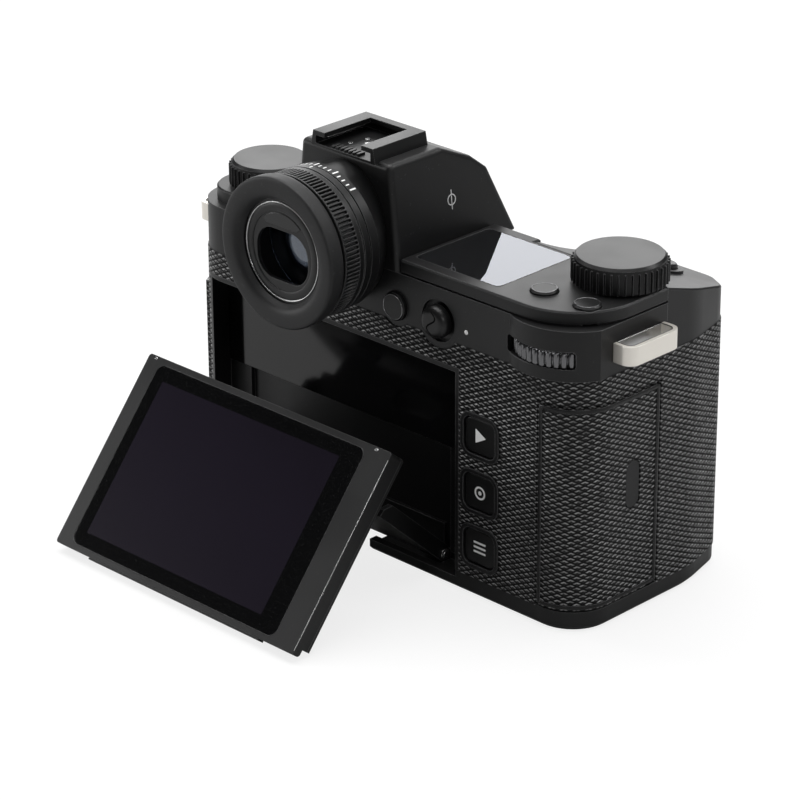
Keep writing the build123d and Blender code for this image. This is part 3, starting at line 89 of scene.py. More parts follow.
class Sheet:
    """A node tree being drawn, of a material or of a group."""

    def __init__(self, tree):
        self.tree = tree

    def add(self, kind, **settings):
        node = self.tree.nodes.new(kind)
        for key, value in settings.items():
            setattr(node, key, value)
        return node

    def feed(self, socket, value):
        if isinstance(value, bpy.types.NodeSocket):
            self.tree.links.new(value, socket)
        else:
            socket.default_value = value

    def maths(self, operation, first, second=0.0, third=None):
        node = self.add("ShaderNodeMath", operation=operation)
        self.feed(node.inputs[0], first)
        self.feed(node.inputs[1], second)
        if third is not None:
            self.feed(node.inputs[2], third)
        return node.outputs[0]

    def blend(self, share, first, second):
        """First colour where the share is 0, second where it is 1."""
        node = self.add("ShaderNodeMix", data_type="RGBA")
        self.feed(node.inputs[0], share)
        self.feed(node.inputs[6], first)
        self.feed(node.inputs[7], second)
        return node.outputs[2]

    def span(self, value, low, high, out_low=0.0, out_high=1.0):
        """Value carried from one range to another, smoothly, and held at the ends."""
        node = self.add("ShaderNodeMapRange", interpolation_type="SMOOTHSTEP")
        self.feed(node.inputs[0], value)
        for place, number in enumerate((low, high, out_low, out_high), 1):
            self.feed(node.inputs[place], number)
        return node.outputs[0]

    def noise(self, scale, detail=2.0, vector=None):
        node = self.add("ShaderNodeTexNoise")
        self.feed(node.inputs["Vector"], vector or self.place())
        self.feed(node.inputs["Scale"], scale)
        self.feed(node.inputs["Detail"], detail)
        return node.outputs["Fac"]

    def place(self):
        return self.add("ShaderNodeTexCoord").outputs["Object"]

    def parts(self, vector):
        return self.add_fed("ShaderNodeSeparateXYZ", vector).outputs

    def add_fed(self, kind, value):
        node = self.add(kind)
        self.feed(node.inputs[0], value)
        return node

    def mixed(self, share, first, second):
        """Mix of two shader nodes, the first where the share is 0."""
        node = self.add_fed("ShaderNodeMixShader", share)
        self.feed(node.inputs[1], first.outputs[0])
        self.feed(node.inputs[2], second.outputs[0])
        return node

    def grouped(self, group, **values):
        node = self.add("ShaderNodeGroup", node_tree=group)
        for key, value in values.items():
            self.feed(node.inputs[key.replace("_", " ").capitalize()], value)
        return node.outputs

    def bump(self, height, strength, distance, normal=None):
        node = self.add("ShaderNodeBump")
        self.feed(node.inputs["Strength"], strength)
        self.feed(node.inputs["Distance"], distance)
        self.feed(node.inputs["Height"], height)
        if normal is not None:
            self.feed(node.inputs["Normal"], normal)
        return node.outputs["Normal"]


def cleared(owner):
    """Sheet of a material or a sky with its node tree emptied."""
    owner.use_nodes = True
    owner.node_tree.nodes.clear()
    return Sheet(owner.node_tree)


def new_group(name, inputs, outputs):
    """Empty shader group with float inputs (name, default) and outputs (name, kind)."""
    tree = bpy.data.node_groups.new(name, "ShaderNodeTree")
    for label, default in inputs:
        socket = tree.interface.new_socket(label, in_out="INPUT", socket_type="NodeSocketFloat")
        socket.default_value = default
    for label, kind in outputs:
        tree.interface.new_socket(label, in_out="OUTPUT", socket_type=kind)
    sheet = Sheet(tree)
    return tree, sheet, sheet.add("NodeGroupInput").outputs, sheet.add("NodeGroupOutput").inputs


NUMBER = "NodeSocketFloat"
VECTOR = "NodeSocketVector"


def powder_grain():
    """Fine grain of a powder coat: small bumps, and rare bright flecks."""
    tree, sheet, given, out = new_group(
        "powder_grain", [("Grains", 2600.0)], [("Height", NUMBER), ("Fleck", NUMBER), ("Cloud", NUMBER)]
    )
    fine = sheet.noise(given["Grains"], 1.5)
    sheet.feed(out["Height"], fine)
    dots = sheet.add("ShaderNodeTexVoronoi")
    sheet.feed(dots.inputs["Vector"], sheet.place())
    sheet.feed(dots.inputs["Scale"], sheet.maths("MULTIPLY", given["Grains"], 0.45))
    near = sheet.span(dots.outputs["Distance"], 0.10, 0.30, 1.0, 0.0)
    rare = sheet.span(sheet.parts(dots.outputs["Color"])[0], 0.90, 0.97)
    sheet.feed(out["Fleck"], sheet.maths("MULTIPLY", near, rare))
    sheet.feed(out["Cloud"], sheet.noise(45.0, 3.0))
    return tree


def rounded_edge():
    """Normal rounded over sharp edges, and a mask that is 1 on them."""
    tree, sheet, given, out = new_group(
        "rounded_edge", [("Radius", 0.0003)], [("Mask", NUMBER), ("Normal", VECTOR)]
    )
    bevel = sheet.add("ShaderNodeBevel", samples=4)
    sheet.feed(bevel.inputs["Radius"], given["Radius"])
    facing = sheet.add("ShaderNodeVectorMath", operation="DOT_PRODUCT")
    sheet.feed(facing.inputs[0], bevel.outputs[0])
    sheet.feed(facing.inputs[1], sheet.add("ShaderNodeNewGeometry").outputs["Normal"])
    sheet.feed(out["Mask"], sheet.span(facing.outputs["Value"], 0.80, 0.995, 1.0, 0.0))
    sheet.feed(out["Normal"], bevel.outputs[0])
    return tree


def round_the_body():
    """Distance along the body's outside, so that a pattern runs round its rear corners without a break.

    Between the corner centres it is X. On a corner it adds the arc length, and along a side the
    distance in Y. In front of the seam it is X on faces that look forward and Y on those that look aside.
    """
    tree, sheet, given, out = new_group(
        "round_the_body",
        [("Right centre", corner_x * MM), ("Left centre", 0.0458), ("Centre depth", corner_y * MM),
         ("Radius", corner_radius * MM), ("Front", -0.0122)],
        [("Across", NUMBER), ("Up", NUMBER)],
    )
    x, y, z = sheet.parts(sheet.place())
    held = sheet.maths("MINIMUM", sheet.maths("MAXIMUM", x, given["Right centre"]), given["Left centre"])
    over = sheet.maths("SUBTRACT", x, held)
    ahead = sheet.maths("MAXIMUM", sheet.maths("SUBTRACT", y, given["Centre depth"]), 0.00001)
    behind = sheet.maths("MAXIMUM", sheet.maths("SUBTRACT", given["Centre depth"], y), 0.0)
    arc = sheet.maths(
        "MULTIPLY", sheet.maths("ARCTAN2", sheet.maths("ABSOLUTE", over), ahead), given["Radius"]
    )
    run = sheet.maths("MULTIPLY", sheet.maths("SIGN", over), sheet.maths("ADD", arc, behind))
    rear = sheet.maths("ADD", held, run)
    face = sheet.parts(sheet.add("ShaderNodeNewGeometry").outputs["Normal"])
    aside = sheet.maths(
        "GREATER_THAN", sheet.maths("ABSOLUTE", face[0]), sheet.maths("ABSOLUTE", face[1])
    )
    front = sheet.maths("ADD", x, sheet.maths("MULTIPLY", aside, sheet.maths("SUBTRACT", y, x)))
    in_front = sheet.maths("LESS_THAN", y, given["Front"])
    across = sheet.maths("ADD", rear, sheet.maths("MULTIPLY", in_front, sheet.maths("SUBTRACT", front, rear)))
    sheet.feed(out["Across"], across)
    sheet.feed(out["Up"], z)
    return tree


def diamond_grain():
    """Pressed diamond lattice: 1 on the crown of each lozenge, 0 in the crossed grooves.

    Flank is a mask of each lozenge's two upper sides, where the gloss of the skin is brightest; the
    leatherette paints them light grey as a painted highlight.
    """
    tree, sheet, given, out = new_group(
        "diamond_grain",
        [("Across", 0.0), ("Up", 0.0), ("Width", 0.00305), ("Height", 0.001435)],
        [("Crown", NUMBER), ("Groove", NUMBER), ("Flank", NUMBER)],
    )
    p = sheet.maths("DIVIDE", given["Across"], given["Width"])
    q = sheet.maths("DIVIDE", given["Up"], given["Height"])
    one = sheet.maths("PINGPONG", sheet.maths("ADD", p, q), 0.5)
    two = sheet.maths("PINGPONG", sheet.maths("SUBTRACT", p, q), 0.5)
    low = sheet.maths("MULTIPLY", sheet.maths("MINIMUM", one, two), 2.0)
    sheet.feed(out["Crown"], sheet.span(low, 0.0, 0.85))
    sheet.feed(out["Groove"], sheet.span(low, 0.12, 0.45, 1.0, 0.0))
    sides = []
    runs = (sheet.maths("ADD", p, q), sheet.maths("SUBTRACT", q, p))
    for run, cross, share in zip(runs, (two, one), (0.85, 0.60)):
        rise = sheet.maths("FRACT", run)
        near = sheet.span(rise, 0.50, 0.68)
        far = sheet.span(rise, 0.74, 0.94, share, 0.0)
        inside = sheet.span(cross, 0.12, 0.34)
        sides.append(sheet.maths("MULTIPLY", sheet.maths("MULTIPLY", near, far), inside))
    sheet.feed(out["Flank"], sheet.maths("MAXIMUM", sides[0], sides[1]))
    return tree


grain_group = powder_grain()
edge_group = rounded_edge()
path_group = round_the_body()
diamond_group = diamond_grain()


def new_finish(name, roughness=0.5, metallic=0.0, **fixed):
    """Material with a Principled shader, and the sheet that it is drawn on."""
    material = bpy.data.materials.new(name)
    sheet = cleared(material)
    shader = sheet.add("ShaderNodeBsdfPrincipled")
    shader.inputs["Roughness"].default_value = roughness
    shader.inputs["Metallic"].default_value = metallic
    for key, value in fixed.items():
        shader.inputs[key.replace("_", " ")].default_value = value
    end = sheet.add("ShaderNodeOutputMaterial")
    sheet.feed(end.inputs["Surface"], shader.outputs[0])
    return material, sheet, shader.inputs


def painted(name, colour, rub_and_highlight_colour, roughness, grains, bump, radius, fleck=0.0, cloudy=0.08, **fixed):
    """Coated or bare metal or plastic: grain, cloudy roughness, and edges rounded and painted lighter, partly
    as rubbed wear and partly as a painted highlight.
    """
    material, sheet, shader = new_finish(name, **fixed)
    grain = sheet.grouped(grain_group, grains=grains)
    edge = sheet.grouped(edge_group, radius=radius)
    # Edges painted lighter: partly rubbed wear, partly a painted highlight where the rounded edges catch the
    # lamps.
    base = sheet.blend(sheet.maths("MULTIPLY", edge["Mask"], 0.6), (*colour, 1), (*rub_and_highlight_colour, 1))
    flecked = sheet.maths("MULTIPLY", grain["Fleck"], fleck)
    sheet.feed(shader["Base Color"], sheet.blend(flecked, base, (0.32, 0.32, 0.33, 1)))
    sheet.feed(
        shader["Roughness"],
        sheet.span(grain["Cloud"], 0.3, 0.7, roughness - cloudy / 2, roughness + cloudy / 2),
    )
    sheet.feed(shader["Normal"], sheet.bump(grain["Height"], bump, 0.00005, edge["Normal"]))
    return material


def leather_finish():
    """Glossy black lozenges with flat crowns, steep flanks painted light grey as a painted highlight of the
    lamps, and grooves painted darker as painted shade.
    """
    material, sheet, shader = new_finish("pressed_leatherette", IOR=1.33)
    path = sheet.grouped(path_group)
    lozenge = sheet.grouped(diamond_group, across=path["Across"], up=path["Up"])
    edge = sheet.grouped(edge_group, radius=0.0002)
    mottle = sheet.noise(420.0, 2.0)
    patches = sheet.span(mottle, 0.35, 0.7)
    crown = sheet.blend(patches, (0.003, 0.003, 0.0032, 1), (0.009, 0.009, 0.0093, 1))
    # Grooves painted near black, darker than the crowns: painted shade in the creases.
    painted_groove_shade = sheet.blend(lozenge["Groove"], crown, (0.0012, 0.0012, 0.0012, 1))
    # Upper flanks painted light grey, more in some places than others: a painted highlight where the lamps
    # catch the gloss.
    uneven = sheet.span(sheet.noise(900.0, 1.0), 0.30, 0.62, 0.25, 1.0)
    flank_painted_highlight = sheet.maths("MULTIPLY", lozenge["Flank"], uneven)
    sheet.feed(shader["Base Color"], sheet.blend(flank_painted_highlight, painted_groove_shade, (0.44, 0.44, 0.44, 1)))
    gloss = sheet.span(mottle, 0.3, 0.7, 0.26, 0.40)
    dull = sheet.maths("MULTIPLY", lozenge["Groove"], 0.40)
    sheet.feed(shader["Roughness"], sheet.maths("ADD", gloss, dull))
    fine = sheet.maths("MULTIPLY", sheet.noise(1500.0, 2.0), 0.30)
    height = sheet.maths("ADD", lozenge["Crown"], fine)
    sheet.feed(shader["Normal"], sheet.bump(height, 1.0, 0.00030, edge["Normal"]))
    return material


def rubber_finish():
    """Matt black rubber with faint patches, a little dust and a fine grain."""
    material, sheet, shader = new_finish("soft_black_rubber", IOR=1.40)
    cloud = sheet.noise(60.0, 3.0)
    dust = sheet.maths("MULTIPLY", sheet.span(sheet.noise(900.0, 2.0), 0.60, 0.78), 0.05)
    patches = sheet.span(cloud, 0.3, 0.7)
    base = sheet.blend(patches, (0.0095, 0.0095, 0.0100, 1), (0.0135, 0.0135, 0.0140, 1))
    sheet.feed(shader["Base Color"], sheet.blend(dust, base, (0.2, 0.2, 0.2, 1)))
    sheet.feed(shader["Roughness"], sheet.span(cloud, 0.3, 0.7, 0.52, 0.62))
    sheet.feed(shader["Normal"], sheet.bump(sheet.noise(3500.0, 1.0), 0.15, 0.00004))
    return material


def screen_finish():
    """Dark coated glass over the picture area: violet-black inside, black and finely flecked outside."""
    material, sheet, shader = new_finish("screen_glass", roughness=0.06, IOR=1.35)
    x, y, z = sheet.parts(sheet.place())
    middle = [number * MM for number in screen_middle]
    along = sheet.maths("SUBTRACT", middle[0], x)
    rise = sheet.maths(
        "ADD",
        sheet.maths("MULTIPLY", sheet.maths("SUBTRACT", y, middle[1]), -screen_sin),
        sheet.maths("MULTIPLY", sheet.maths("SUBTRACT", z, middle[2]), screen_cos),
    )
    aside = sheet.maths("ABSOLUTE", sheet.maths("ADD", along, 0.00305))
    above = sheet.maths("ABSOLUTE", sheet.maths("ADD", rise, 0.0001))
    wide = sheet.span(aside, 0.0316, 0.0319, 1.0, 0.0)
    tall = sheet.span(above, 0.0210, 0.0213, 1.0, 0.0)
    picture = sheet.maths("MULTIPLY", wide, tall)
    speck = sheet.maths("MULTIPLY", sheet.span(sheet.noise(5200.0, 0.0), 0.70, 0.76), 0.12)
    rim = sheet.blend(speck, (0.0018, 0.0018, 0.0020, 1), (0.12, 0.12, 0.12, 1))
    cloud = sheet.span(sheet.noise(24.0, 2.0), 0.3, 0.7)
    inside = sheet.blend(cloud, (0.0062, 0.0042, 0.0090, 1), (0.0076, 0.0052, 0.0112, 1))
    sheet.feed(shader["Base Color"], sheet.blend(picture, rim, inside))
    sheet.feed(shader["Roughness"], sheet.span(picture, 0.0, 1.0, 0.12, 0.20))
    edge = sheet.grouped(edge_group, radius=0.00025)
    sheet.feed(shader["Normal"], sheet.bump(sheet.noise(3000.0, 1.0), 0.03, 0.00002, edge["Normal"]))
    return material


def glass_finish(name, tint, ior=1.5):
    """Clear glass with a tinted coating."""
    material, sheet, shader = new_finish(
        name, roughness=0.0, Transmission_Weight=1.0, IOR=ior, Coat_Weight=0.6, Coat_Tint=(*tint, 1)
    )
    cloud = sheet.span(sheet.noise(70.0, 2.0), 0.3, 0.7)
    sheet.feed(shader["Base Color"], sheet.blend(cloud, (0.93, 0.95, 0.98, 1), (0.97, 0.98, 1.0, 1)))
    return material


def two_tone(name, low, high, roughness, scale, metallic=0.0, bump=0.1):
    """Plain inner material: two close colours mixed by a cloud, with a slight grain."""
    material, sheet, shader = new_finish(name, roughness=roughness, metallic=metallic)
    cloud = sheet.span(sheet.noise(scale, 3.0), 0.35, 0.65)
    sheet.feed(shader["Base Color"], sheet.blend(cloud, (*low, 1), (*high, 1)))
    sheet.feed(shader["Normal"], sheet.bump(sheet.noise(scale * 8, 1.0), bump, 0.00004))
    return material


def display_finish():
    """Small reflective display on the top: a silver-grey panel with a faint grid of pixels."""
    material, sheet, shader = new_finish("top_panel", roughness=0.06, metallic=1.0)
    x, y, _ = sheet.parts(sheet.place())
    columns = sheet.maths("PINGPONG", sheet.maths("MULTIPLY", x, 5000.0), 0.5)
    rows = sheet.maths("PINGPONG", sheet.maths("MULTIPLY", y, 5000.0), 0.5)
    grid = sheet.span(sheet.maths("MINIMUM", columns, rows), 0.0, 0.12, 0.85, 1.0)
    tone = sheet.blend(grid, (0.15, 0.152, 0.152, 1), (0.18, 0.182, 0.182, 1))
    sheet.feed(shader["Base Color"], tone)
    return material


def evf_finish():
    """Viewfinder's display: fine dark lines over a painted reflection, a tint that runs from warm to cold
    along X.
    """
    material, sheet, shader = new_finish("evf_panel", roughness=0.2)
    x, _, z = sheet.parts(sheet.place())
    lines = sheet.maths("MULTIPLY", sheet.maths("PINGPONG", sheet.maths("MULTIPLY", z, 9000.0), 0.5), 0.4)
    # Warm-to-cold tint: a painted reflection standing in for the coloured glints of the eyepiece's coating.
    tint = sheet.blend(sheet.span(x, -0.004, 0.004), (0.42, 0.20, 0.09, 1), (0.12, 0.20, 0.34, 1))
    sheet.feed(shader["Base Color"], sheet.blend(lines, tint, (0.02, 0.02, 0.02, 1)))
    return material


satin_metal = painted(
    "satin_black_metal", (0.0060, 0.0060, 0.0063), (0.20, 0.20, 0.205), 0.42, 3000.0, 0.13, 0.00030,
    fleck=0.08, IOR=1.40,
)
smooth_black = painted(
    "anodised_black", (0.0040, 0.0040, 0.0042), (0.24, 0.24, 0.245), 0.38, 4200.0, 0.07, 0.00020,
    fleck=0.03, IOR=1.38,
)
gloss_black = painted(
    "gloss_black", (0.0030, 0.0030, 0.0033), (0.02, 0.02, 0.02), 0.10, 900.0, 0.02, 0.0002, cloudy=0.04
)
black_plastic = painted(
    "moulded_black_plastic", (0.0050, 0.0050, 0.0052), (0.12, 0.12, 0.122), 0.38, 3600.0, 0.12, 0.0003,
    fleck=0.04, IOR=1.42,
)
champagne = painted(
    "champagne_metal", (0.90, 0.86, 0.79), (0.97, 0.95, 0.90), 0.34, 3800.0, 0.10, 0.0003, metallic=0.6
)
silver = painted(
    "silver_metal", (0.56, 0.56, 0.56), (0.82, 0.82, 0.82), 0.26, 3800.0, 0.08, 0.0003, metallic=1.0
)
chrome = painted(
    "chromed_ring", (0.58, 0.58, 0.57), (0.85, 0.85, 0.84), 0.20, 2600.0, 0.06, 0.0002, metallic=1.0
)
brass = painted(
    "brass", (0.62, 0.44, 0.18), (0.85, 0.66, 0.33), 0.28, 3000.0, 0.08, 0.0002, metallic=1.0
)
white_paint = painted("white_paint", (0.86, 0.86, 0.85), (0.90, 0.90, 0.89), 0.45, 3000.0, 0.05, 0.0001)
grey_paint = painted("grey_paint", (0.62, 0.62, 0.62), (0.66, 0.66, 0.66), 0.45, 3000.0, 0.05, 0.0001)
wheel_metal = painted(
    "wheel_metal", (0.15, 0.15, 0.155), (0.60, 0.60, 0.61), 0.17, 4200.0, 0.06, 0.00018, metallic=0.9
)
# Near-black and rough: painted shade for the inside of the stick's groove.
stick_groove_painted_shade = painted(
    "stick_groove_painted_shade", (0.0008, 0.0008, 0.0008), (0.001, 0.001, 0.001), 0.85, 3000.0, 0.05, 0.0001, IOR=1.2
)
red_paint = painted("red_paint", (0.45, 0.02, 0.015), (0.50, 0.04, 0.03), 0.35, 3000.0, 0.05, 0.0001)
leather = leather_finish()
rubber = rubber_finish()
screen_pane = screen_finish()
lens_glass = glass_finish("coated_lens_glass", (0.80, 0.88, 1.0), ior=1.65)
cover_glass = glass_finish("clear_cover_glass", (0.8, 0.85, 1.0))
top_panel = display_finish()
evf_panel = evf_finish()
board_green = two_tone("circuit_board", (0.012, 0.055, 0.030), (0.018, 0.075, 0.042), 0.45, 300.0)
sensor_blue = two_tone(
    "sensor_silicon", (0.020, 0.030, 0.050), (0.035, 0.028, 0.055), 0.12, 60.0, metallic=0.6, bump=0.02
)

finish_of = {
    "satin_black_metal": satin_metal,
    "leatherette": leather,
    "black_rubber": rubber,
    "silver_metal": silver,
    "champagne_metal": champagne,
    "chromed_ring": chrome,
    "black_anodised": smooth_black,
    "black_plastic": black_plastic,
    "gloss_black": gloss_black,
    "screen_glass": screen_pane,
    "lens_glass": lens_glass,
    "display_panel": top_panel,
    "circuit_board": board_green,
    "sensor_silicon": sensor_blue,
    "brass": brass,
}


def dress_nodes():
    """Every CAD node takes the finish of its own slot, or the one named for it here."""
    own = {
        "evf_display": evf_panel,
        "top_display_window": cover_glass,
        "eyepiece_lens": lens_glass,
        "joystick_cap": black_plastic,
        "mount_contact_block": black_plastic,
        "thumbwheel": wheel_metal,
    }
    slot_of = {part["node"]: part["material_slot"] for part in frame["record"]["subparts"]}
    for name, piece in nodes.items():
        material = own.get(name) or finish_of[slot_of[name]]
        piece.data.materials.clear()
        piece.data.materials.append(material)


dress_nodes()


# Surface helpers

def mesh_of(name, blocks, body, material):
    """Piece from blocks of points in millimetres, each (rows x columns x 3, rows closed, columns closed).

    A quad joins each point to its neighbours along both ways of its grid. Doubles are merged and
    the faces turned outwards.
    """
    points, faces, count = [], [], 0
    for grid, close_rows, close_columns in blocks:
        rows, columns = grid.shape[:2]
        index = np.arange(rows * columns).reshape(rows, columns) + count
        if close_rows:
            index = np.vstack((index, index[:1]))
        if close_columns:
            index = np.hstack((index, index[:, :1]))
        quads = np.stack((index[:-1, :-1], index[:-1, 1:], index[1:, 1:], index[1:, :-1]), axis=-1)
        faces.append(quads.reshape(-1, 4))
        points.append(grid.reshape(-1, 3))
        count += rows * columns
    mesh = bpy.data.meshes.new(name)
    mesh.from_pydata((np.vstack(points) * MM).tolist(), [], np.vstack(faces).tolist())
    shell = bmesh.new()
    shell.from_mesh(mesh)
    bmesh.ops.remove_doubles(shell, verts=shell.verts, dist=0.000002)
    bmesh.ops.dissolve_degenerate(shell, edges=shell.edges, dist=0.000001)
    bmesh.ops.recalc_face_normals(shell, faces=shell.faces)
    shell.to_mesh(mesh)
    shell.free()
    mesh.shade_smooth()
    mesh.set_sharp_from_angle(angle=math.radians(38))
    mesh.materials.append(material)
    piece = bpy.data.objects.new(name, mesh)
    bpy.context.scene.collection.objects.link(piece)
    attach(piece, body)
    return piece


def box_of(name):
    """Low and high corner of a CAD node's box, in millimetres."""
    low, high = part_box(name)
    return low / MM, high / MM


def frame_at(origin, across, up):
    """Local frame in millimetres: origin, unit across, unit up and the outward normal."""
    across = np.array(across, float) / np.linalg.norm(across)
    up = np.array(up, float) / np.linalg.norm(up)
    return np.array(origin, float), across, up, np.cross(across, up)


def set_in(place, u, v, w):
    """Points of a local frame: origin + u across + v up + w outwards."""
    origin, across, up, out = place
    return origin + u[..., None] * across + v[..., None] * up + w[..., None] * out


def softened(outline, rounds):
    """Closed outline with its corners cut at a quarter and three quarters of each side, several times."""
    for _ in range(rounds):
        ahead = np.roll(outline, -1, axis=0)
        outline = np.stack((outline * 0.75 + ahead * 0.25, outline * 0.25 + ahead * 0.75), axis=1)
        outline = outline.reshape(-1, outline.shape[-1])
    return outline


def ring_grid(place, rings):
    """Grid of points from rings of a local frame, each an outline and its height over the frame."""
    return np.stack([set_in(place, *ring.T, np.full(len(ring), height)) for ring, height in rings])


def plate_block(place, outline, thickness, edge=0.0):
    """Closed plate: the outline at the foot, at the top, drawn in by an edge, and shrunk to its middle."""
    middle = outline.mean(axis=0)
    away = outline - middle
    reach = np.linalg.norm(away, axis=1, keepdims=True)
    inner = middle + away * (1 - edge / np.maximum(reach, 0.0001))
    point = np.repeat(middle[None], len(outline), 0)
    rings = (
        (point, 0.0), (outline, 0.0), (outline, thickness - edge), (inner, thickness), (point, thickness),
    )
    return ring_grid(place, rings), False, True


def band_block(place, outer, inner, thickness):
    """Closed flat band between two outlines with the same number of points."""
    rings = ((outer, 0.0), (outer, thickness), (inner, thickness), (inner, 0.0))
    return ring_grid(place, rings), True, True


def round_outline(radius, count=40, x=0.0, y=0.0):
    """Points on a circle: x + radius cos t, y + radius sin t."""
    t = np.linspace(0, 2 * np.pi, count, endpoint=False)
    return np.stack((x + radius * np.cos(t), y + radius * np.sin(t)), axis=1)


def box_outline(width, height, corner, x=0.0, y=0.0, count=8):
    """Rounded rectangle: a quarter circle of points about each corner's centre."""
    t = np.linspace(0, np.pi / 2, count)
    turns = np.concatenate([t + quarter * np.pi / 2 for quarter in range(4)])
    side_x = np.repeat([1, -1, -1, 1], count) * (width / 2 - corner)
    side_y = np.repeat([1, 1, -1, -1], count) * (height / 2 - corner)
    return np.stack((x + side_x + corner * np.cos(turns), y + side_y + corner * np.sin(turns)), axis=1)


def turned_block(profile, count, centre, closed=True):
    """Profile of (radius, Y) points turned round an axis along Y through the centre (x, z)."""
    t = np.linspace(0, 2 * np.pi, count, endpoint=False)
    radius, along = profile[:, 0][:, None], profile[:, 1][:, None]
    grid = np.stack((centre[0] + radius * np.cos(t), along + 0 * t, centre[1] + radius * np.sin(t)), axis=-1)
    return grid, closed, True


def bead_block(path, radius, closed=True, count=8):
    """Round bead along a path: each path point carries a circle square to the path's direction."""
    ahead = np.roll(path, -1, axis=0) if closed else np.vstack((path[1:], path[-1:] * 2 - path[-2:-1]))
    behind = np.roll(path, 1, axis=0) if closed else np.vstack((path[:1] * 2 - path[1:2], path[:-1]))
    run = ahead - behind
    run /= np.linalg.norm(run, axis=1, keepdims=True)
    side = np.cross(run, np.array((0.31, 0.52, 0.79)))
    side /= np.linalg.norm(side, axis=1, keepdims=True)
    other = np.cross(run, side)
    t = np.linspace(0, 2 * np.pi, count, endpoint=False)
    ring = side[:, None] * np.cos(t)[None, :, None] + other[:, None] * np.sin(t)[None, :, None]
    grid = path[:, None] + radius * ring
    if not closed:
        first, last = np.repeat(path[:1, None], count, 1), np.repeat(path[-1:, None], count, 1)
        grid = np.concatenate((first, grid, last))
    return grid, closed, True


# Eyepiece: soft eyecup, knurled dioptre ring, bright ring and the scale

def make_eyecup():
    """Soft cup: a closed profile with its corners rounded off, turned round the eyepiece axis."""
    outline = np.array((
        (15.1, 35.6), (17.6, 35.55), (18.7, 35.9), (19.05, 36.8), (19.1, 38.6), (19.1, 39.9), (18.75, 40.4),
        (17.6, 40.5), (16.2, 40.5), (15.0, 40.35), (14.1, 39.9), (13.5, 39.2), (13.1, 38.6), (13.05, 38.35),
        (15.1, 38.3), (15.1, 37.0),
    ))
    grid = turned_block(softened(outline, 2), 144, eye)
    cup = mesh_of("eyecup_rubber", [grid], "camera_body", rubber)
    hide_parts("eyecup")


def arc_dashes(dashes, radius):
    """Raised paint on a round barrel: for each (angle, width, Y from, Y to) a thin curved plate."""
    blocks = []
    for angle, width, start, end in dashes:
        half = width / 2 / radius
        middle = math.radians(90 + angle)
        t = middle + np.array((-half, half))
        corners = np.array(((t[0], start), (t[1], start), (t[1], end), (t[0], end)))
        rings = []
        for lift in (-0.05, 0.03):
            r = radius + lift
            x, z = r * np.cos(corners[:, 0]), eye_up + r * np.sin(corners[:, 0])
            rings.append(np.stack((x, corners[:, 1], z), axis=-1))
        foot, top = (np.repeat(ring.mean(0)[None], 4, 0) for ring in rings)
        blocks.append((np.stack((foot, *rings, top)), False, True))
    return blocks


def make_dioptre_ring():
    """Ring whose radius dips in narrow axial slots: radius - depth x slot(angle) x band(Y)."""
    slots, per_slot = 104, 8
    t = np.linspace(0, 2 * np.pi, slots * per_slot, endpoint=False)
    phase = (np.arange(slots * per_slot) % per_slot) / per_slot
    slot_shape = np.clip((0.30 - np.abs(phase - 0.5)) / 0.10, 0, 1)
    body = np.array((
        (18.05, 26.35), (18.35, 26.5), (18.4, 28.3), (18.1, 28.45), (18.1, 28.75), (18.4, 28.9), (18.4, 29.9),
        (18.4, 30.2), (18.4, 30.5), (18.4, 34.3), (18.4, 34.6), (18.4, 34.85), (18.1, 35.1), (17.2, 35.15),
    ))
    radius, along = body[:, :1], body[:, 1:]
    band = ((along > 30.4) & (along < 34.4)).astype(float)
    outside = radius - 0.75 * band * slot_shape
    inner = np.array(((15.1, 35.15), (15.1, 26.35)))
    rings = np.vstack((outside, np.repeat(inner[:, :1], len(t), 1)))
    level = np.repeat(np.vstack((along, inner[:, 1:])), len(t), 1)
    grid = np.stack((rings * np.cos(t), level, eye_up + rings * np.sin(t)), axis=-1)
    ring = mesh_of("dioptre_knurl", [(grid, True, True)], "dioptre_ring", smooth_black)
    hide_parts("dioptre_ring")
    dash = arc_dashes([(-3.0, 0.34, 26.8, 27.9)], 18.42)
    mesh_of("dioptre_index", dash, "dioptre_ring", white_paint)


def make_scale():
    """Tick marks round the top of the barrel, every fourth one longer."""
    dashes = []
    for place in range(13):
        width, start = (0.42, 23.7) if place % 4 == 0 else (0.34, 24.5)
        dashes.append((35.0 - 5.1 * place, width, start, 25.6))
    mesh_of("eyepiece_scale", arc_dashes(dashes, 18.2), "camera_body", white_paint)


def make_eyepiece_ring():
    """Thin bright ring round the eyepiece window: a small round profile turned round the axis."""
    profile = round_outline(0.16, 10, 12.35, 38.25)
    mesh_of("eyepiece_ring", [turned_block(profile, 120, eye)], "camera_body", silver)


def make_eyepiece_glass():
    """Domed front lens: Y = crown - r^2 / (2 x curvature), closed by a flat back."""
    reach, crown, curvature, back = 12.9, 33.4, 26.0, 29.25
    r = np.linspace(0, reach, 22)
    front = np.stack((r, crown - r ** 2 / (2 * curvature)), axis=1)
    profile = np.vstack((front, ((reach, back), (0.0, back))))
    glass = turned_block(profile, 96, eye, False)
    dome = mesh_of("eyepiece_dome", [glass], "camera_body", lens_glass)
    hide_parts("eyepiece_lens")


def make_eyepiece_trim():
    """Stepped ring on the bezel and the dark crescent window of the eye sensor above the eyepiece window."""
    step = np.array((
        (10.15, 38.15), (10.15, 38.34), (10.3, 38.42), (11.9, 38.42), (12.1, 38.3), (12.1, 38.15),
    ))
    mesh_of("bezel_step", [turned_block(step, 120, eye)], "camera_body", black_plastic)
    spread = np.linspace(-42, 42, 25)
    arc = np.stack((9.7 * np.sin(np.radians(spread)), 9.7 * np.cos(np.radians(spread))), axis=1)
    chord = np.stack((np.linspace(6.2, -6.2, 15)[1:-1], np.full(13, 6.15)), axis=1)
    place = frame_at((0, 38.16, eye_up), (-1, 0, 0), (0, 0, 1))
    window = plate_block(place, np.vstack((arc, chord)), 0.16, 0.08)
    mesh_of("eye_sensor_window", [window], "camera_body", gloss_black)


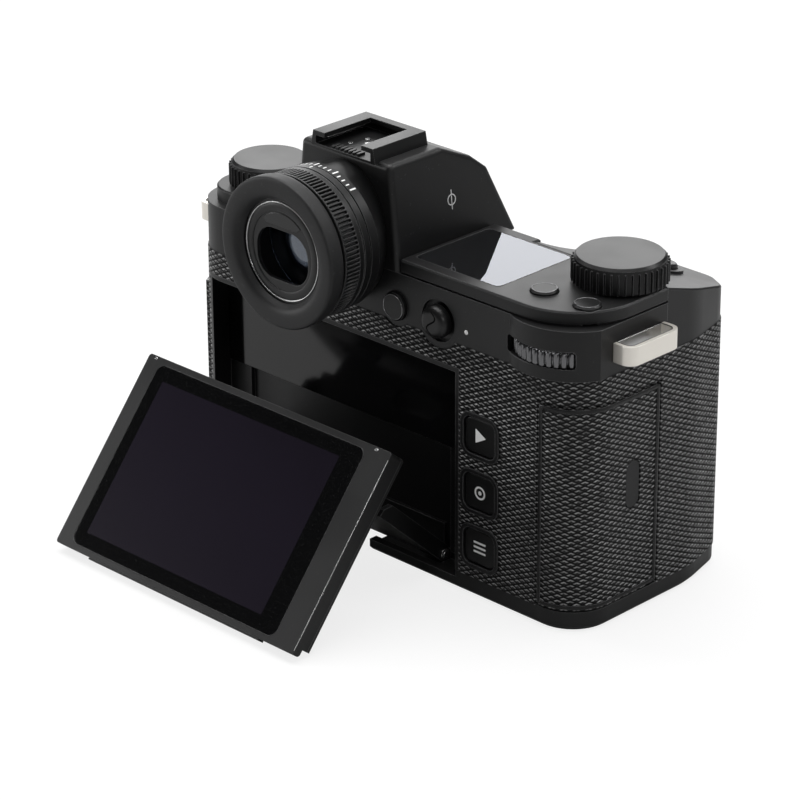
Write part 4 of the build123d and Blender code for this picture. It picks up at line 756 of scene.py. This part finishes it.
def make_thumbwheel():
    """Toothed wheel: radius = reach - 0.75 |2 f - 1|^3 for the share f of each tooth, with bevelled rims."""
    low, high = box_of("thumbwheel")
    centre, reach = (low + high) / 2, (high.x - low.x) / 2
    teeth, per_tooth = 40, 10
    t = np.linspace(0, 2 * np.pi, teeth * per_tooth, endpoint=False)
    share = (np.arange(teeth * per_tooth) % per_tooth) / per_tooth
    tooth = 0.75 * np.abs(2 * share - 1) ** 3
    rings = ((0.0, low.z, 0.0), (-0.9, low.z, 0.0), (-0.35, low.z, 1.0), (0.0, low.z + 0.4, 1.0),
             (0.0, high.z - 0.4, 1.0), (-0.35, high.z, 1.0), (-0.9, high.z, 0.0), (0.0, high.z, 0.0))
    hub = (4.0,) + (0.0,) * 6 + (4.0,)
    grid = []
    for (inset, z, cut), hole in zip(rings, hub):
        r = np.full(len(t), hole) if hole else reach + inset - cut * tooth
        x, y = centre.x + r * np.cos(t), centre.y + r * np.sin(t)
        grid.append(np.stack((x, y, np.full(len(t), z)), axis=-1))
    block = (np.stack(grid), True, True)
    wheel = mesh_of("thumbwheel_teeth", [block], "thumbwheel", wheel_metal)
    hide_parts("thumbwheel")


def make_stick_groove():
    """S-shaped line on the stick's cap, a near-black bead as painted shade of its groove: across = 1.35
    sin(pi t), up = 2.9 t, bent over the cap's crown.
    """
    low, high = box_of("joystick_cap")
    t = np.linspace(-1, 1, 41)
    across, up = 1.35 * np.sin(np.pi * t), 2.9 * t
    fall = 0.10 + 0.9 * (np.hypot(across, up) / 4.2) ** 4
    middle = (low + high) / 2
    path = np.stack((middle.x - across, high.y - fall + 0.06, middle.z + up), axis=1)
    # The groove is drawn as a dark bead: painted shade, not a cut.
    mesh_of("stick_groove", [bead_block(path, 0.22, False)], "joystick_cap", stick_groove_painted_shade)


# Marks

def rear_face(x, y, z):
    """Local frame of a face that looks to the rear."""
    return frame_at((x, y, z), (-1, 0, 0), (0, 0, 1))


def make_key_icons():
    """Plain signs on the three keys: an arrowhead, a ringed dot and three bars."""
    side = np.linspace(0, 1, 9)[:-1, None]
    tips = np.array(((-1.5, 1.9), (1.9, 0.0), (-1.5, -1.9)))
    arrow = softened(np.concatenate([tips[k] * (1 - side) + tips[(k + 1) % 3] * side for k in range(3)]), 2)
    at = {}
    for key in ("play_key", "fn_key", "menu_key"):
        low, high = box_of(key)
        at[key] = rear_face((low.x + high.x) / 2, high.y - 0.02, (low.z + high.z) / 2)
    thick = 0.06
    mesh_of("play_sign", [plate_block(at["play_key"], arrow, thick)], "play_key", white_paint)
    ring = band_block(at["fn_key"], round_outline(1.75), round_outline(1.25), thick)
    dot = plate_block(at["fn_key"], round_outline(0.55, 20), thick)
    mesh_of("fn_sign", [ring, dot], "fn_key", white_paint)
    bars = [box_outline(4.0, 0.55, 0.2, 0.0, rise, 4) for rise in (1.25, 0.0, -1.25)]
    bars = [plate_block(at["menu_key"], bar, thick) for bar in bars]
    mesh_of("menu_sign", bars, "menu_key", white_paint)


def make_button_rims():
    """Fine polished rims round the faces of the round buttons."""
    for button in ("rear_button", "top_button_inner", "top_button_outer"):
        low, high = box_of(button)
        centre = (low + high) / 2
        across, up = round_outline((high.x - low.x) / 2 - 0.42, 48).T
        if button == "rear_button":
            path = np.stack((centre.x + across, np.full(48, high.y - 0.02), centre.z + up), axis=1)
        else:
            path = np.stack((centre.x + across, centre.y + up, np.full(48, high.z - 0.02)), axis=1)
        mesh_of(button + "_rim", [bead_block(path, 0.09)], button, wheel_metal)


def make_sensor_mark():
    """Circle with a bar through it, on the right side of the hump, which leans in as it rises."""
    lean = 2.8 / 26.6
    z = 91.4
    x = -(18.0 - lean * (z - 78.2)) - 0.01
    place = frame_at((x, -2.9, z), (0, -1, 0), (lean, 0, 1))
    ring = band_block(place, round_outline(1.45, 36), round_outline(1.17, 36), 0.05)
    bar = plate_block(place, box_outline(0.28, 5.0, 0.1, count=3), 0.05)
    mesh_of("sensor_plane_mark", [ring, bar], "camera_body", grey_paint)


def make_status_light():
    """Small lens of the status light: a low dome of radius 0.62 cos t at height 0.28 sin t."""
    t = np.linspace(0, np.pi / 2, 6)
    dome = np.stack((0.62 * np.cos(t), 16.7 + 0.28 * np.sin(t)), axis=1)
    profile = np.vstack(((0.0, 16.6), (0.62, 16.6), dome))
    light = turned_block(profile, 20, (-40.3, 69.3), False)
    mesh_of("status_light", [light], "camera_body", white_paint)


# Trim

def body_wrap(u, z, lift):
    """Point on the body's side and rear at a distance u round it from the middle of the rear face.

    Up to the corner's centre it is straight along X, then on a circle of the corner's radius, then
    straight forward.
    """
    straight = -corner_x
    turn = np.clip((u - straight) / corner_radius, 0, np.pi / 2)
    beyond = np.maximum(u - straight - corner_radius * np.pi / 2, 0)
    x = -np.minimum(u, straight) - (corner_radius + lift) * np.sin(turn)
    y = corner_y + (corner_radius + lift) * np.cos(turn) - beyond
    return np.stack((x, y, z + 0 * u), axis=-1)


def wrapped_strip(u, z, width, lift):
    """Closed strip along a path of (u, z) on the body: a sunk foot, a side and a top line on each side."""
    path = np.stack((u, z), axis=1)
    run = np.roll(path, -1, axis=0) - np.roll(path, 1, axis=0)
    run /= np.linalg.norm(run, axis=1, keepdims=True)
    side = np.stack((run[:, 1], -run[:, 0]), axis=1)
    rings = []
    for out, high in ((1, -0.1), (1, lift * 0.6), (0.6, lift), (-0.6, lift), (-1, lift * 0.6), (-1, -0.1)):
        edge = path + side * width / 2 * out
        rings.append(body_wrap(edge[:, 0], edge[:, 1], high))
    return np.stack(rings), True, True


def make_door_trim():
    """Raised rim round the card door, carried round the corner of the body."""
    low, high = box_of("card_door")
    inset = 0.9
    u0 = 63.9 + inset
    u1 = -corner_x + corner_radius * math.pi / 2 + (corner_y - low.y) - 0.75
    z0, z1 = low.z + inset, high.z - inset
    across = np.linspace(u0, u1, 60)
    up = np.linspace(z0, z1, 30)[1:-1]
    u = np.concatenate((across, np.full(len(up), u1), across[::-1], np.full(len(up), u0)))
    z = np.concatenate((np.full(len(across), z1), up[::-1], np.full(len(across), z0), up))
    mesh_of("card_door_trim", [wrapped_strip(u, z, 1.0, 0.28)], "card_door", smooth_black)


def make_door_pad():
    """Smooth oval pad in the card door's finger dimple."""
    place = frame_at((-76.35, -2.7, 34.85), (0, -1, 0), (0, 0, 1))
    pad = plate_block(place, box_outline(4.9, 12.6, 2.4), 0.30, 0.2)
    mesh_of("card_door_pad", [pad], "card_door", rubber)


def screen_place(lift=0.0):
    """Local frame of the screen's glass in the photograph's pose, lifted outwards."""
    out = np.array((0, screen_cos, screen_sin))
    middle = np.array(screen_middle)
    return frame_at(middle + out * lift, (-1, 0, 0), (0, -screen_sin, screen_cos))


def make_screen_rim():
    """Thin dark edge round the screen's glass, a silver bead down its side as a painted highlight, and pins
    by its top corners.
    """
    outline = box_outline(73.9, 50.0, 2.4, -1.5, 0.0)
    path = set_in(screen_place(-0.01), *outline.T, np.zeros(len(outline)))
    mesh_of("screen_rim", [bead_block(path, 0.06)], "screen", smooth_black)
    # Silver bead down the right side: a painted highlight on the screen's dark edge.
    line = np.linspace(-25.6, 24.6, 12)
    edge = set_in(screen_place(-0.03), np.full(12, 42.95), line, np.zeros(12))
    mesh_of("screen_side_highlight_bead", [bead_block(edge, 0.11, False)], "screen", silver)
    feet = [box_outline(1.0, 0.7, 0.2, x, 25.9, 3) for x in (-40.4, 38.3)]
    pins = [plate_block(screen_place(-0.6), foot, 0.75, 0.12) for foot in feet]
    mesh_of("screen_pins", pins, "screen", silver)


def make_display_frame():
    """Thin edge round the top display's window."""
    outline = box_outline(27.6, 26.3, 0.8, -33.5, 0.05)
    path = np.column_stack((outline, np.full(len(outline), 81.86)))
    mesh_of("display_frame", [bead_block(path, 0.10)], "camera_body", smooth_black)


def make_lug_liners():
    """Thin bright plates let into the body behind the strap lugs."""
    blocks = []
    for side, x, y in lug_middles:
        place = frame_at((x, y, 71.4), (0, side, 0), (0, 0, 1))
        blocks.append(plate_block(place, box_outline(16.6, 4.6, 0.5, count=4), 0.12))
    mesh_of("lug_liners", blocks, "camera_body", silver)


def make_lug_lines():
    """Dark lines round the inner edges of the strap lugs: three sides of a rounded rectangle."""
    bend = box_outline(5.6, 15.8, 1.6)[8:24]
    bend = np.vstack(((1.55, 7.9), bend, (1.55, -7.9)))
    top = np.full(len(bend), 73.77)
    blocks = []
    for side, x, y in lug_middles:
        loop_x = x + side * 1.63
        path = np.stack((loop_x - side * bend[:, 0], y + bend[:, 1], top), axis=1)
        blocks.append(bead_block(path, 0.12, False))
    mesh_of("lug_lines", blocks, "camera_body", smooth_black)


# Screws and threads

def screw_block(place, radius, slots=6):
    """Screw head with a star socket: 0.34 deep where r < 0.40 + 0.09 cos(slots x angle), with a bevelled rim.

    Radii and depths are shares of the head's radius. The last two rings close its foot.
    """
    r = np.array((0.0, 0.14, 0.26, 0.36, 0.48, 0.62, 0.80, 0.93, 1.0, 1.0, 0.0))[:, None]
    t = np.linspace(0, 2 * np.pi, slots * 6, endpoint=False)
    depth = np.where(r < 0.40 + 0.09 * np.cos(slots * t), -0.34, 0.0)
    depth[7:9] -= np.array(((0.03,), (0.10,)))
    depth[9:] = -0.5
    grid = set_in(place, radius * r * np.cos(t), radius * r * np.sin(t), radius * depth)
    return grid, False, True


def front_face(radius, angle, y):
    """Local frame of a face that looks forward, at a radius and an angle about the lens axis."""
    t = math.radians(angle)
    return frame_at((radius * math.cos(t), y, mount_up + radius * math.sin(t)), (1, 0, 0), (0, 0, 1))


def make_screws():
    """Six screws in the base plate and six in the lens mount's flange."""
    under = ((-30.0, 10.5), (50.5, 9.5), (50.5, -11.5), (-29.0, -13.0), (-71.0, 6.0), (22.0, -12.5))
    base = [screw_block(frame_at((x, y, 0.12), (1, 0, 0), (0, -1, 0)), 1.3) for x, y in under]
    mesh_of("base_screws", base, "camera_body", smooth_black)
    flange = [screw_block(front_face(29.4, angle, -22.93), 1.25) for angle in (20, 65, 115, 160, 200, 340)]
    mesh_of("flange_screws", flange, "camera_body", silver)


def make_tripod_thread():
    """Screw thread in the tripod bush: radius 3.15 - 0.48 x ridge(Z / pitch - angle / full turn)."""
    pitch = 1.27
    z = np.linspace(0.35, 6.4, 76)[:, None]
    t = np.linspace(0, 2 * np.pi, 48, endpoint=False)[None]
    phase = np.mod(z / pitch - t / (2 * np.pi), 1.0)
    fade = np.clip(np.minimum(z - 0.35, 6.4 - z) / 0.4, 0, 1)
    r = 3.15 - 0.48 * np.clip(1.25 - np.abs(phase - 0.5) * 3.2, 0, 1) * fade
    grid = np.stack((r * np.cos(t), r * np.sin(t), z + 0 * t), axis=-1)
    wall = np.stack((3.17 * np.cos(t[0]), 3.17 * np.sin(t[0])), axis=-1)
    ends = [np.column_stack((wall, np.full(48, height)))[None] for height in (0.3, 6.45)]
    thread = (np.concatenate((ends[0], grid, ends[1])), True, True)
    mesh_of("tripod_thread", [thread], "camera_body", silver)


def make_mount_contacts():
    """Row of brass pins on the lens mount's contact block, and the red lens index over the mount."""
    face = box_of("mount_contact_block")[0].y
    pins = [
        plate_block(front_face(22.6, angle, face + 0.02), round_outline(0.62, 14), 0.45, 0.2)
        for angle in np.linspace(90 - 24, 90 + 24, 10)
    ]
    mesh_of("mount_contacts", pins, "camera_body", brass)
    index = plate_block(front_face(33.75, 90, -21.52), round_outline(0.55, 20), 0.12, 0.05)
    mesh_of("lens_index", [index], "camera_body", red_paint)


def make_shoe_contacts():
    """Small contact pads and a ribbed guard on the floor of the accessory shoe."""
    floor = 104.83
    level = frame_at((0, 0, floor), (1, 0, 0), (0, 1, 0))
    spots = ((0, 9.2), (-3.4, 11.6), (3.4, 11.6), (-2.4, 6.8), (2.4, 6.8))
    pads = [plate_block(level, round_outline(0.75, 16, x, y), 0.12, 0.05) for x, y in spots]
    mesh_of("shoe_contacts", pads, "camera_body", silver)
    sunk = frame_at((0, 0, floor - 0.2), (1, 0, 0), (0, 1, 0))
    places = (-4.4, -3.0, -1.6, -0.2, 1.2, 2.6, 4.0)
    ribs = [plate_block(sunk, box_outline(0.8, 2.6, 0.3, x, 15.9, 3), 0.75, 0.15) for x in places]
    mesh_of("shoe_ribs", ribs, "camera_body", black_plastic)


make_eyecup()
make_dioptre_ring()
make_scale()
make_eyepiece_ring()
make_eyepiece_glass()
make_eyepiece_trim()
make_stick_groove()
make_thumbwheel()
make_key_icons()
make_button_rims()
make_sensor_mark()
make_status_light()
make_door_trim()
make_door_pad()
make_screen_rim()
make_display_frame()
make_lug_liners()
make_lug_lines()
make_screws()
make_tripod_thread()
make_mount_contacts()
make_shoe_contacts()


# Floor, backdrop, lamps and sky

def make_floor():
    """Pale floor: brighter to the camera than to the object, and open from below."""
    material = bpy.data.materials.new("pale_floor")
    sheet = cleared(material)
    seen = sheet.add("ShaderNodeLightPath").outputs["Is Camera Ray"]
    matt = sheet.add("ShaderNodeBsdfDiffuse")
    sheet.feed(matt.inputs["Color"], sheet.blend(seen, (0.50, 0.50, 0.50, 1), (0.90, 0.90, 0.90, 1)))
    glow = sheet.add("ShaderNodeEmission")
    sheet.feed(glow.inputs["Color"], (1, 1, 1, 1))
    both = sheet.mixed(sheet.maths("MULTIPLY", seen, 0.80), matt, glow)
    below = sheet.add("ShaderNodeNewGeometry").outputs["Backfacing"]
    open_below = sheet.mixed(below, both, sheet.add("ShaderNodeBsdfTransparent"))
    sheet.add_fed("ShaderNodeOutputMaterial", open_below.outputs[0])
    reach = 3.0
    corners = [(-reach, -reach, 0), (reach, -reach, 0), (reach, reach, 0), (-reach, reach, 0)]
    mesh = bpy.data.meshes.new("floor")
    mesh.from_pydata(corners, [], [(0, 1, 2, 3)])
    mesh.materials.append(material)
    floor = bpy.data.objects.new("floor", mesh)
    floor.location.z = -0.00002
    bpy.context.scene.collection.objects.link(floor)


def make_sky():
    """White to the camera and through glass, nearly dark to everything else."""
    world = bpy.data.worlds.new("studio")
    sheet = cleared(world)
    path = sheet.add("ShaderNodeLightPath").outputs
    skies = []
    for colour, strength in (((0.95, 0.97, 1.0, 1), 0.05), ((1, 1, 1, 1), 1.0)):
        sky = sheet.add("ShaderNodeBackground")
        sheet.feed(sky.inputs["Color"], colour)
        sheet.feed(sky.inputs["Strength"], strength)
        skies.append(sky)
    seen = sheet.maths("MAXIMUM", path["Is Camera Ray"], path["Is Transmission Ray"])
    sheet.add_fed("ShaderNodeOutputWorld", sheet.mixed(seen, *skies).outputs[0])
    bpy.context.scene.world = world


lamp_aim = (0, 0, 0.05)


def lamp(name, place, power, wide, tall):
    """Rectangular lamp that faces the middle of the object: place and sizes in metres, power in watts."""
    data = bpy.data.lights.new(name, "AREA")
    data.energy = power
    data.shape = "RECTANGLE"
    data.size = wide
    data.size_y = tall
    light = bpy.data.objects.new(name, data)
    bpy.context.scene.collection.objects.link(light)
    toward = (Vector(lamp_aim) - Vector(place)).to_track_quat("-Z", "Y").to_matrix().to_4x4()
    light.matrix_world = Matrix.Translation(place) @ toward


make_floor()
make_sky()
bpy.context.scene.view_settings.view_transform = "Standard"
lamp("overhead_softbox", (0.10, -0.10, 1.05), 13.0, 1.0, 1.0)
lamp("far_panel", (1.20, -1.25, 0.62), 17.0, 1.6, 1.1)
lamp("right_softbox", (-0.96, -0.29, 0.50), 1.5, 0.35, 0.7)
lamp("left_softbox", (1.00, 0.62, 0.26), 4.4, 0.5, 0.35)
lamp("edge_strip_left", (0.62, 0.22, 0.95), 2.2, 0.12, 0.8)
lamp("edge_strip_right", (-0.50, -0.70, 0.82), 3.0, 0.7, 0.14)
lamp("near_right_softbox", (-0.86, 0.50, 0.55), 1.7, 0.28, 0.28)
